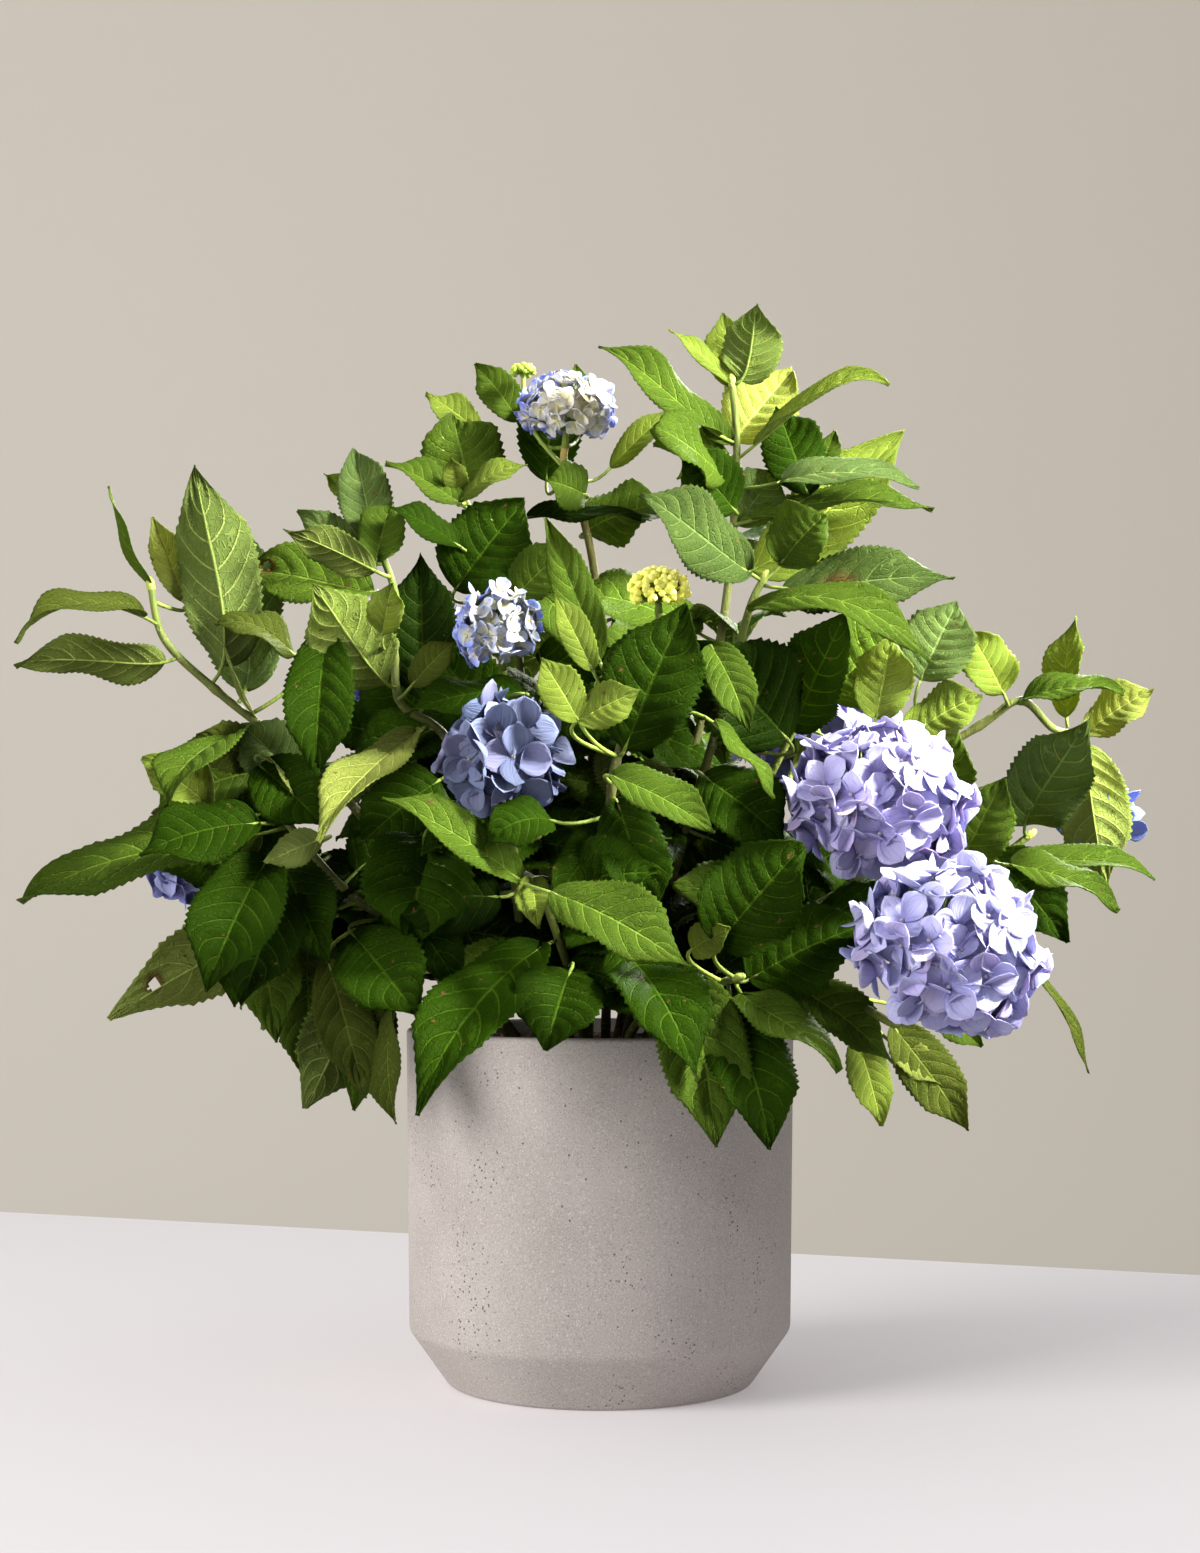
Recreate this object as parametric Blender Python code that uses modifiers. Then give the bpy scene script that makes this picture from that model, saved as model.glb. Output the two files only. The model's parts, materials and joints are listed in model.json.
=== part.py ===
"""A potted hydrangea: a round cast-stone planter, its soil, and a shrub of canes, flower heads and leaves.

Metres, +Z up, front towards -Y, origin under the middle of the pot. Positions in the layout are those of the
standard pot, and place() moves them with the real one.
"""

import bmesh
import bpy
import numpy as np
from mathutils import Vector

# The pot.
POT_RADIUS = 0.140
POT_HEIGHT = 0.255
POT_TAPER = 0.002
POT_WALL = 0.013
FLOOR_THICKNESS = 0.018
FOOT_CHAMFER_IN = 0.028
FOOT_CHAMFER_UP = 0.040
RIM_ROUNDING = 0.003
POT_STEPS = 48

# The soil, which fills the pot to a little under its rim.
SOIL_DROP = 0.015
SOIL_EDGE_DROP = 0.006
SOIL_STEPS = 32

# The plant. Every clearance between touching pieces is this gap.
GAP = 0.0003
CANE_RADIUS = 0.0042
SHOOT_RADIUS = 0.0030
LEAF_THICKNESS = 0.0012
PETIOLE_WIDTH = 0.0045

# A cane leaves the soil upright for this far, and enters its flower head straight for this far.
UPRIGHT_START = 0.014
STRAIGHT_END = 0.012

# How finely a flower head is made, and how far its florets' lumps stand out, against its size.
HEAD_SIDES = 14
HEAD_RINGS = 9
HEAD_LUMP = 0.05

# The layout below was measured on a pot of this radius, with its soil at this height.
LAYOUT_RADIUS = 0.140
LAYOUT_SOIL = 0.240

SOIL_TOP = POT_HEIGHT - SOIL_DROP
PLANT_SCALE = POT_RADIUS / LAYOUT_RADIUS

# Each cane: the points it passes through, from the soil up. A head's stalk ends under that head.
CANES = {
    "left": [
        (-0.068, -0.010, 0.240),
        (-0.125, -0.020, 0.350),
        (-0.190, -0.038, 0.430),
        (-0.236, -0.048, 0.468),
        (-0.271, -0.050, 0.496),
        (-0.307, -0.050, 0.531),
        (-0.317, -0.048, 0.568),
    ],
    "low_left": [
        (-0.070, 0.018, 0.240),
        (-0.125, 0.030, 0.320),
        (-0.205, 0.042, 0.345),
    ],
    "low_front_left": [
        (-0.062, -0.036, 0.240),
        (-0.115, -0.052, 0.310),
        (-0.175, -0.062, 0.352),
        (-0.215, -0.070, 0.398),
        (-0.232, -0.074, 0.420),
    ],
    "mid_left": [
        (-0.046, -0.018, 0.240),
        (-0.062, -0.034, 0.360),
        (-0.107, -0.045, 0.460),
        (-0.142, -0.050, 0.490),
        (-0.144, -0.042, 0.559),
        (-0.159, -0.036, 0.602),
    ],
    "middle_blue": [
        (-0.038, -0.046, 0.240),
        (-0.056, -0.066, 0.330),
    ],
    "upper_blue": [
        (-0.022, -0.018, 0.240),
        (-0.030, -0.030, 0.360),
        (-0.058, -0.066, 0.465),
    ],
    "front": [
        (-0.012, -0.044, 0.240),
        (-0.022, -0.078, 0.300),
        (-0.040, -0.108, 0.354),
    ],
    "green_head": [
        (0.004, -0.030, 0.240),
        (0.006, -0.085, 0.330),
        (0.008, -0.145, 0.425),
        (0.030, -0.118, 0.500),
    ],
    "low_right": [
        (0.022, -0.044, 0.240),
        (0.042, -0.100, 0.278),
        (0.090, -0.150, 0.296),
    ],
    "upper_right": [
        (0.020, -0.010, 0.240),
        (0.050, -0.042, 0.360),
        (0.082, -0.074, 0.470),
        (0.102, -0.086, 0.545),
        (0.112, -0.088, 0.568),
    ],
    "mid_right": [
        (0.036, 0.002, 0.240),
        (0.078, -0.010, 0.340),
        (0.114, -0.024, 0.420),
        (0.140, -0.044, 0.474),
    ],
    "great_blue": [
        (0.044, -0.020, 0.240),
        (0.084, -0.050, 0.300),
        (0.135, -0.070, 0.335),
    ],
    "lower_blue": [
        (0.062, -0.034, 0.240),
        (0.110, -0.060, 0.280),
        (0.160, -0.098, 0.284),
    ],
    "right_low": [
        (0.066, 0.000, 0.240),
        (0.125, -0.014, 0.300),
        (0.205, -0.032, 0.350),
        (0.275, -0.045, 0.375),
        (0.301, -0.050, 0.392),
    ],
    "right_high": [
        (0.050, 0.020, 0.240),
        (0.104, 0.012, 0.340),
        (0.190, 0.004, 0.420),
        (0.275, -0.002, 0.474),
        (0.305, -0.004, 0.492),
        (0.332, 0.010, 0.472),
        (0.356, 0.016, 0.470),
    ],
    "far_right": [
        (0.064, 0.042, 0.240),
        (0.150, 0.060, 0.310),
        (0.260, 0.076, 0.362),
    ],
    "top_right": [
        (0.014, 0.012, 0.240),
        (0.046, 0.006, 0.380),
        (0.084, 0.000, 0.520),
        (0.098, 0.000, 0.630),
        (0.099, 0.000, 0.685),
        (0.096, 0.000, 0.722),
    ],
    "white_head": [
        (-0.008, 0.020, 0.240),
        (-0.008, 0.022, 0.400),
        (-0.002, 0.012, 0.560),
        (-0.016, 0.002, 0.640),
    ],
    "top_left": [
        (-0.034, 0.010, 0.240),
        (-0.048, 0.006, 0.380),
        (-0.060, 0.004, 0.530),
        (-0.082, 0.002, 0.600),
        (-0.100, 0.000, 0.642),
    ],
    "back_left": [
        (-0.040, 0.046, 0.240),
        (-0.085, 0.095, 0.360),
        (-0.130, 0.160, 0.470),
    ],
    "back_right": [
        (0.022, 0.046, 0.240),
        (0.075, 0.105, 0.350),
        (0.130, 0.175, 0.430),
    ],
}

# Each flower head: the cane it ends, its middle, its three half-sizes and the way it faces.
HEADS = {
    "white": ("white_head", (-0.024, 0.000, 0.703), (0.036, 0.034, 0.026), (0.05, -0.15, 1.0)),
    "upper_blue": ("upper_blue", (-0.070, -0.100, 0.534), (0.032, 0.030, 0.032), (-0.1, -0.5, 0.9)),
    "middle_blue": ("middle_blue", (-0.063, -0.142, 0.447), (0.046, 0.044, 0.050), (-0.1, -0.6, 0.8)),
    "great_blue": ("great_blue", (0.187, -0.118, 0.412), (0.066, 0.058, 0.056), (0.2, -0.6, 0.8)),
    "lower_blue": ("lower_blue", (0.222, -0.200, 0.313), (0.064, 0.058, 0.060), (0.4, -0.6, 0.7)),
    "green": ("green_head", (0.040, -0.104, 0.560), (0.022, 0.021, 0.015), (0.0, -0.1, 1.0)),
    "far_right": ("far_right", (0.372, 0.080, 0.414), (0.032, 0.032, 0.030), (0.6, 0.0, 0.8)),
    "far_left": ("low_left", (-0.296, 0.045, 0.384), (0.044, 0.042, 0.044), (-0.6, 0.0, 0.8)),
    "back_left": ("back_left", (-0.156, 0.196, 0.545), (0.056, 0.054, 0.048), (-0.3, 0.4, 0.9)),
    "back_right": ("back_right", (0.170, 0.222, 0.490), (0.062, 0.060, 0.054), (0.3, 0.5, 0.8)),
}

# Each leaf: its cane and place along it, its tip, its width, where its upper face looks, and its arch.
LEAVES = {
    "left_tall": ("left", 4.1, (-0.283, -0.066, 0.652), 0.052, (0.1, 1.0, 0.1), 0.004),
    "left_far": ("left", 4.7, (-0.407, -0.076, 0.511), 0.042, (0.0, 0.5, 1.0), 0.012),
    "left_arc": ("left", 5.3, (-0.396, -0.120, 0.522), 0.030, (0.1, -0.1, 1.0), 0.034),
    "left_behind": ("left", 3.6, (-0.262, 0.030, 0.622), 0.066, (-0.3, -1.0, 0.0), 0.006),
    "pale_mid_left": ("mid_left", 3.1, (-0.196, -0.110, 0.563), 0.058, (-0.2, 1.0, 0.3), -0.006),
    "oval_mid_left": ("mid_left", 4.2, (-0.258, -0.020, 0.583), 0.042, (0.0, -0.8, 0.6), 0.010),
    "yellow_mid_left": ("mid_left", 2.4, (-0.187, -0.160, 0.387), 0.038, (-0.2, 0.8, 0.5), 0.016),
    "hood_left": ("left", 3.1, (-0.290, -0.130, 0.412), 0.052, (-0.5, -0.8, 0.5), 0.024),
    "low_left_out": ("low_front_left", 3.1, (-0.402, -0.070, 0.345), 0.044, (0.0, 0.5, 0.9), 0.024),
    "low_left_pale": ("low_front_left", 2.2, (-0.336, -0.100, 0.266), 0.050, (0.2, 0.8, 0.6), 0.010),
    "drape_front_left": ("front", 1.4, (-0.117, -0.216, 0.211), 0.060, (-0.2, -0.8, 0.6), 0.034),
    "drape_front_right": ("green_head", 0.9, (0.062, -0.212, 0.232), 0.060, (0.1, -0.8, 0.6), 0.030),
    "drape_right": ("low_right", 1.9, (0.109, -0.206, 0.188), 0.056, (0.1, -1.0, 0.3), 0.020),
    "low_right_out": ("low_right", 2.0, (0.150, -0.236, 0.240), 0.040, (0.1, -0.6, 0.8), 0.014),
    "right_oval": ("right_low", 4.0, (0.330, -0.116, 0.470), 0.056, (0.1, -1.0, 0.2), 0.004),
    "right_out": ("right_low", 3.3, (0.388, -0.064, 0.362), 0.030, (0.1, 0.0, 1.0), 0.020),
    "right_fold": ("right_high", 5.4, (0.348, 0.010, 0.554), 0.036, (-0.8, -0.6, 0.0), 0.010),
    "oval_centre": ("mid_right", 3.0, (0.163, -0.150, 0.539), 0.052, (-0.1, -1.0, 0.2), 0.004),
    "large_upper": ("upper_right", 4.0, (0.027, -0.150, 0.618), 0.054, (-0.2, -0.9, 0.4), 0.008),
    "spotted_upper": ("upper_right", 3.9, (0.241, -0.104, 0.567), 0.044, (0.1, -0.7, 0.7), 0.012),
    "bright_top": ("top_right", 2.6, (0.223, 0.020, 0.690), 0.058, (0.3, -1.0, 0.1), 0.004),
    "upright_top": ("top_right", 5.0, (0.114, -0.010, 0.778), 0.040, (0.2, 1.0, 0.1), 0.002),
    "arc_top_right": ("top_right", 3.7, (0.204, -0.050, 0.711), 0.030, (0.0, -0.4, 1.0), 0.030),
    "arc_top_left": ("top_right", 3.9, (-0.001, -0.052, 0.738), 0.030, (0.0, -0.6, 0.8), 0.012),
    "round_top_left": ("top_left", 4.0, (-0.108, 0.030, 0.705), 0.062, (0.0, -1.0, 0.3), 0.002),
    "back_low": ("back_left", 1.2, (-0.060, 0.250, 0.300), 0.060, (0.0, 0.8, 0.6), 0.024),
    "back_high": ("back_right", 1.5, (0.040, 0.215, 0.520), 0.058, (-0.2, 0.9, 0.4), 0.010),
}

# Down a leaf from its base: how far along, and how wide it is against its full width.
LEAF_ROWS = [(0.13, 0.12), (0.24, 0.66), (0.42, 1.00), (0.62, 0.90), (0.82, 0.48), (1.00, 0.05)]
LEAF_FOLD = 0.24


def clear_scene():
    for old in list(bpy.data.objects):
        bpy.data.objects.remove(old, do_unlink=True)


def make_collection(name):
    collection = bpy.data.collections.new(name)
    bpy.context.scene.collection.children.link(collection)
    return collection


def make_material(name, colour, roughness):
    material = bpy.data.materials.new(name)
    material.use_nodes = True
    shader = next(n for n in material.node_tree.nodes if n.type == "BSDF_PRINCIPLED")
    shader.inputs["Base Color"].default_value = (*colour, 1.0)
    shader.inputs["Roughness"].default_value = roughness
    material.diffuse_color = (*colour, 1.0)
    return material


def place(point):
    """A point of the layout, moved to suit the real pot."""
    x, y, z = point
    return Vector((x * PLANT_SCALE, y * PLANT_SCALE, SOIL_TOP + (z - LAYOUT_SOIL) * PLANT_SCALE))


def add_object(name, data, material):
    made = bpy.data.objects.new(name, data)
    made.data.materials.append(material)
    HYDRANGEA.objects.link(made)
    return made


def add_turned(name, profile, steps, material):
    """A profile of (radius, height), from the axis at the top, down the outer side, back to the axis."""
    mesh = bpy.data.meshes.new(name)
    edges = [(i, i + 1) for i in range(len(profile) - 1)]
    mesh.from_pydata([(r, 0.0, z) for r, z in profile], edges, [])
    turned = add_object(name, mesh, material)
    screw = turned.modifiers.new("turn", "SCREW")
    screw.steps = steps
    screw.render_steps = steps
    screw.use_merge_vertices = True
    screw.merge_threshold = 0.00001
    screw.use_smooth_shade = True
    return turned


def add_pot(material):
    top = POT_RADIUS
    foot = POT_RADIUS - POT_TAPER
    inner_top = top - POT_WALL
    inner_foot = foot - FOOT_CHAMFER_IN - POT_WALL * 0.5
    soft = RIM_ROUNDING
    profile = [
        (0.0, FLOOR_THICKNESS),
        (inner_foot, FLOOR_THICKNESS),
        (inner_top - POT_TAPER, FLOOR_THICKNESS + FOOT_CHAMFER_UP),
        (inner_top, POT_HEIGHT - soft),
        (inner_top + soft, POT_HEIGHT),
        (top - soft, POT_HEIGHT),
        (top, POT_HEIGHT - soft),
        (foot, FOOT_CHAMFER_UP),
        (foot - FOOT_CHAMFER_IN, 0.0),
        (0.0, 0.0),
    ]
    return add_turned("pot", profile, POT_STEPS, material)


def inner_radius(height):
    """The pot's inner radius at this height, on the straight part of the wall."""
    low = FLOOR_THICKNESS + FOOT_CHAMFER_UP
    share = (height - low) / (POT_HEIGHT - RIM_ROUNDING - low)
    return POT_RADIUS - POT_WALL - POT_TAPER * (1.0 - share)


def add_soil(material):
    inset = GAP + 0.0006
    bottom = FLOOR_THICKNESS + GAP
    shoulder = FLOOR_THICKNESS + FOOT_CHAMFER_UP
    foot = POT_RADIUS - POT_TAPER - FOOT_CHAMFER_IN - POT_WALL * 0.5
    profile = [
        (0.0, SOIL_TOP),
        (inner_radius(SOIL_TOP) * 0.84, SOIL_TOP),
        (inner_radius(SOIL_TOP) - inset * 2, SOIL_TOP - SOIL_EDGE_DROP),
        (inner_radius(shoulder) - inset * 2, shoulder + inset),
        (foot - inset * 2, bottom),
        (0.0, bottom),
    ]
    return add_turned("potting_soil", profile, SOIL_STEPS, material)


def stalk_end(head):
    """The last two points of the cane that carries this head: straight into the head's underside."""
    cane, middle, half, facing = HEADS[head]
    way = Vector(facing).normalized()
    under = place(middle) - way * (half[2] * PLANT_SCALE + GAP)
    return [under - way * STRAIGHT_END * PLANT_SCALE, under]


def cane_points(name):
    points = [place(p) for p in CANES[name]]
    points[0].z = SOIL_TOP + GAP
    points.insert(1, points[0] + Vector((0.0, 0.0, UPRIGHT_START)))
    for head, row in HEADS.items():
        if row[0] == name:
            points += stalk_end(head)
    return points


def add_cane(name, material):
    curve = bpy.data.curves.new(name, "CURVE")
    curve.dimensions = "3D"
    curve.bevel_depth = CANE_RADIUS * PLANT_SCALE
    curve.bevel_resolution = 2
    curve.use_fill_caps = True
    points = cane_points(name)
    line = curve.splines.new("POLY")
    line.points.add(len(points) - 1)
    for i, point in enumerate(points):
        line.points[i].co = (*point, 1.0)
        share = i / (len(points) - 1)
        line.points[i].radius = 1.0 + (SHOOT_RADIUS / CANE_RADIUS - 1.0) * share
    return add_object("cane_" + name, curve, material)


def add_head(name, material):
    """A domed cluster, lumpy where its florets stand out, smooth where its stalk meets it."""
    cane, middle, half, facing = HEADS[name]
    ball = bmesh.new()
    bmesh.ops.create_uvsphere(ball, u_segments=HEAD_SIDES, v_segments=HEAD_RINGS, radius=1.0)
    for vert in ball.verts:
        turn = np.arctan2(vert.co.y, vert.co.x)
        polar = np.arccos(np.clip(vert.co.z, -1.0, 1.0))
        vert.co *= 1.0 + HEAD_LUMP * np.sin(5.0 * turn + 2.0 * polar) * np.sin(polar) ** 2
        vert.co *= PLANT_SCALE
        vert.co = [c * h for c, h in zip(vert.co, half)]
    mesh = bpy.data.meshes.new(name)
    ball.to_mesh(mesh)
    ball.free()
    mesh.shade_smooth()
    head = add_object("head_" + name, mesh, material)
    head.rotation_mode = "QUATERNION"
    head.rotation_quaternion = Vector((0.0, 0.0, 1.0)).rotation_difference(Vector(facing))
    head.location = place(middle)
    return head


def along_cane(name, where):
    """(point, direction, cane radius there) at a place counted in points along the cane."""
    points = cane_points(name)[1:]
    i = min(int(where), len(points) - 2)
    share = where - i
    point = points[i].lerp(points[i + 1], share)
    way = (points[i + 1] - points[i]).normalized()
    grown = (i + share) / (len(points) - 1)
    radius = CANE_RADIUS + (SHOOT_RADIUS - CANE_RADIUS) * grown
    return point, way, radius * PLANT_SCALE


def leaf_line(name):
    """The four control points of a leaf's midrib: it leaves its cane squarely, then arches over to its tip."""
    cane, where, tip, width, facing, arch = LEAVES[name]
    root, way, radius = along_cane(cane, where)
    tip = place(tip)
    out = tip - root
    out -= way * out.dot(way)
    out.normalize()
    start = root + out * (radius + GAP * 1.6)
    chord = tip - start
    face = Vector(facing).normalized()
    lift = face * arch * PLANT_SCALE * 1.3
    return [
        start,
        start + out * chord.length * 0.22 + lift * 0.5,
        start + chord * 0.68 + lift,
        tip,
    ]


def bezier(points, t):
    a, b, c, d = points
    u = 1.0 - t
    here = a * u**3 + b * 3 * u * u * t + c * 3 * u * t * t + d * t**3
    way = (b - a) * 3 * u * u + (c - b) * 6 * u * t + (d - c) * 3 * t * t
    return here, way.normalized()


def add_leaf(name, material):
    cane, where, tip, width, facing, arch = LEAVES[name]
    line = leaf_line(name)
    face = Vector(facing).normalized()
    full = width * PLANT_SCALE
    rows = [(0.0, 0.0)] + LEAF_ROWS
    verts = []
    for t, share in rows:
        here, way = bezier(line, t)
        side = way.cross(face).normalized()
        up = side.cross(way).normalized()
        least = PETIOLE_WIDTH * PLANT_SCALE if t < 1.0 else 0.0
        reach = max(full * share, least) * 0.5
        rise = up * max(0.0, reach - PETIOLE_WIDTH) * LEAF_FOLD
        verts += [here - side * reach + rise, here, here + side * reach + rise]
    faces = []
    for r in range(len(rows) - 1):
        for c in range(2):
            i = r * 3 + c
            faces.append((i, i + 1, i + 4, i + 3))
    mesh = bpy.data.meshes.new(name)
    mesh.from_pydata([tuple(v) for v in verts], [], faces)
    leaf = add_object("leaf_" + name, mesh, material)
    solid = leaf.modifiers.new("thickness", "SOLIDIFY")
    solid.thickness = LEAF_THICKNESS
    solid.offset = 0.0
    return leaf


clear_scene()
HYDRANGEA = make_collection("potted_hydrangea")

STONE = make_material("cast_stone", (0.42, 0.38, 0.35), 0.85)
SOIL = make_material("potting_soil", (0.05, 0.03, 0.02), 0.95)
BARK = make_material("green_bark", (0.20, 0.22, 0.06), 0.65)
LEAF = make_material("leaf_green", (0.07, 0.17, 0.03), 0.50)
BLUE = make_material("blue_petal", (0.28, 0.32, 0.70), 0.60)
CREAM = make_material("cream_petal", (0.75, 0.72, 0.62), 0.60)
LIME = make_material("lime_petal", (0.66, 0.68, 0.16), 0.60)

add_pot(STONE)
add_soil(SOIL)
for each in CANES:
    add_cane(each, BARK)
for each in HEADS:
    add_head(each, {"white": CREAM, "green": LIME}.get(each, BLUE))
for each in LEAVES:
    add_leaf(each, LEAF)
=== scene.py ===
"""The potted hydrangea's fine visual model, built over its CAD frame.

Metres, +Z up, front towards -Y, origin under the middle of the pot. The canes, flower heads and large leaves
follow the same layout as the CAD part, and the smaller leaves are added between them.
"""

import json
import math
import random

import bpy
from mathutils import Matrix, Vector, noise

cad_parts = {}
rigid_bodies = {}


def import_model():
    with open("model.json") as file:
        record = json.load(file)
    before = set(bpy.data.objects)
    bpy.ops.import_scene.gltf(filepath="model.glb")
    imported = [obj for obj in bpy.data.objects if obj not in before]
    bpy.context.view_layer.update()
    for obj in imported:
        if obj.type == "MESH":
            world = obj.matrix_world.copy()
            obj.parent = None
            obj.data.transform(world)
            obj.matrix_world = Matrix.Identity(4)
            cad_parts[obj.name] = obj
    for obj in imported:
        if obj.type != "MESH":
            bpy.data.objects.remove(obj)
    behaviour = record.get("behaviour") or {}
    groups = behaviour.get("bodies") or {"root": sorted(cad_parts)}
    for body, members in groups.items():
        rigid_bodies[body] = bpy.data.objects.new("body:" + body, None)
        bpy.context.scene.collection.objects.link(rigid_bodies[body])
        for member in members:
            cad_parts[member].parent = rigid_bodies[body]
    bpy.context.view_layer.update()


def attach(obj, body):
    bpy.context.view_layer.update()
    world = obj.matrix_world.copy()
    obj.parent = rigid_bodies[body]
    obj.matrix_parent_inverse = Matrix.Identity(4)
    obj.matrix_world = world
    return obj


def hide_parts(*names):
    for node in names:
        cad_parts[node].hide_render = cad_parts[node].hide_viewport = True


# ---------------------------------------------------------------- sizes shared with the CAD part
POT_RADIUS = 0.140
POT_HEIGHT = 0.255
POT_TAPER = 0.002
POT_WALL = 0.013
FLOOR_THICKNESS = 0.018
FOOT_CHAMFER_IN = 0.028
FOOT_CHAMFER_UP = 0.040
SOIL_TOP = 0.240
CANE_RADIUS = 0.0042
SHOOT_RADIUS = 0.0030
UPRIGHT_START = 0.014
STRAIGHT_END = 0.012

# ---------------------------------------------------------------- leaves
LEAF_COLUMNS = 16
FILLING_COLUMNS = 10
LEAF_VEINS = 8.0
VEIN_RISE = 0.9
VEIN_CURVE = 1.1
ROWS_PER_TOOTH = 3
TOOTH_PITCH = 0.0044
LEAF_THICKNESS = 0.0005
SMALL_LEAF_SPREAD = 1.16
PETIOLE_SHARE = 0.13
PETIOLE_RADIUS = 0.0014
CANE_SLIMMING = 0.86

# How many steps a cane's line takes from one of its points to the next.
CANE_STEPS = 9
# How far the middle of a midrib is lifted, against the leaf's arch.
ARCH_LIFT = 1.3
# How far a blade bulges between its veins, against its width.
QUILT = 0.050

# ---------------------------------------------------------------- flowers, pot, soil and light
SEPAL_THICKNESS = 0.0003
# How far down a head its florets go, against its half height, and how much each may lean.
DOME_DEPTH = 1.62
FLORET_LEAN = 0.62
# How far the pot's corners are rounded.
POT_CORNER = 0.0032
# Bark chips, and the turn in radians from one to the next.
CHIP_COUNT = 420
CHIP_TURN = 2.39996
# The whole angle of a spot lamp's cone, in degrees.
SPOT_CONE = 30.0

# ---------------------------------------------------------------- layout and colours
# Each cane: the points it passes through, from the soil up. A head's stalk ends under that head.
CANES = {
    "left": [
        (-0.068, -0.010, 0.240), (-0.125, -0.020, 0.350), (-0.190, -0.038, 0.430),
        (-0.236, -0.048, 0.468), (-0.271, -0.050, 0.496), (-0.307, -0.050, 0.531),
        (-0.317, -0.048, 0.568),
    ],
    "low_left": [(-0.070, 0.018, 0.240), (-0.125, 0.030, 0.320), (-0.205, 0.042, 0.345)],
    "low_front_left": [
        (-0.062, -0.036, 0.240), (-0.115, -0.052, 0.310), (-0.175, -0.062, 0.352),
        (-0.215, -0.070, 0.398), (-0.232, -0.074, 0.420),
    ],
    "mid_left": [
        (-0.046, -0.018, 0.240), (-0.062, -0.034, 0.360), (-0.107, -0.045, 0.460),
        (-0.142, -0.050, 0.490), (-0.144, -0.042, 0.559), (-0.159, -0.036, 0.602),
    ],
    "middle_blue": [(-0.038, -0.046, 0.240), (-0.056, -0.066, 0.330)],
    "upper_blue": [(-0.022, -0.018, 0.240), (-0.030, -0.030, 0.360), (-0.058, -0.066, 0.465)],
    "front": [(-0.012, -0.044, 0.240), (-0.022, -0.078, 0.300), (-0.040, -0.108, 0.354)],
    "green_head": [
        (0.004, -0.030, 0.240), (0.006, -0.085, 0.330), (0.008, -0.145, 0.425), (0.030, -0.118, 0.500),
    ],
    "low_right": [(0.022, -0.044, 0.240), (0.042, -0.100, 0.278), (0.090, -0.150, 0.296)],
    "upper_right": [
        (0.020, -0.010, 0.240), (0.050, -0.042, 0.360), (0.082, -0.074, 0.470), (0.102, -0.086, 0.545),
        (0.112, -0.088, 0.568),
    ],
    "mid_right": [
        (0.036, 0.002, 0.240), (0.078, -0.010, 0.340), (0.114, -0.024, 0.420), (0.140, -0.044, 0.474),
    ],
    "great_blue": [(0.044, -0.020, 0.240), (0.084, -0.050, 0.300), (0.135, -0.070, 0.335)],
    "lower_blue": [(0.062, -0.034, 0.240), (0.110, -0.060, 0.280), (0.160, -0.098, 0.284)],
    "right_low": [
        (0.066, 0.000, 0.240), (0.125, -0.014, 0.300), (0.205, -0.032, 0.350), (0.275, -0.045, 0.375),
        (0.301, -0.050, 0.392),
    ],
    "right_high": [
        (0.050, 0.020, 0.240), (0.104, 0.012, 0.340), (0.190, 0.004, 0.420), (0.275, -0.002, 0.474),
        (0.305, -0.004, 0.492), (0.332, 0.010, 0.472), (0.356, 0.016, 0.470),
    ],
    "far_right": [(0.064, 0.042, 0.240), (0.150, 0.060, 0.310), (0.260, 0.076, 0.362)],
    "top_right": [
        (0.014, 0.012, 0.240), (0.046, 0.006, 0.380), (0.084, 0.000, 0.520), (0.098, 0.000, 0.630),
        (0.099, 0.000, 0.685), (0.096, 0.000, 0.722),
    ],
    "white_head": [
        (-0.008, 0.020, 0.240), (-0.008, 0.022, 0.400), (-0.002, 0.012, 0.560), (-0.016, 0.002, 0.640),
    ],
    "top_left": [
        (-0.034, 0.010, 0.240), (-0.048, 0.006, 0.380), (-0.060, 0.004, 0.530), (-0.082, 0.002, 0.600),
        (-0.100, 0.000, 0.642),
    ],
    "back_left": [(-0.040, 0.046, 0.240), (-0.085, 0.095, 0.360), (-0.130, 0.160, 0.470)],
    "back_right": [(0.022, 0.046, 0.240), (0.075, 0.105, 0.350), (0.130, 0.175, 0.430)],
}

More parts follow.
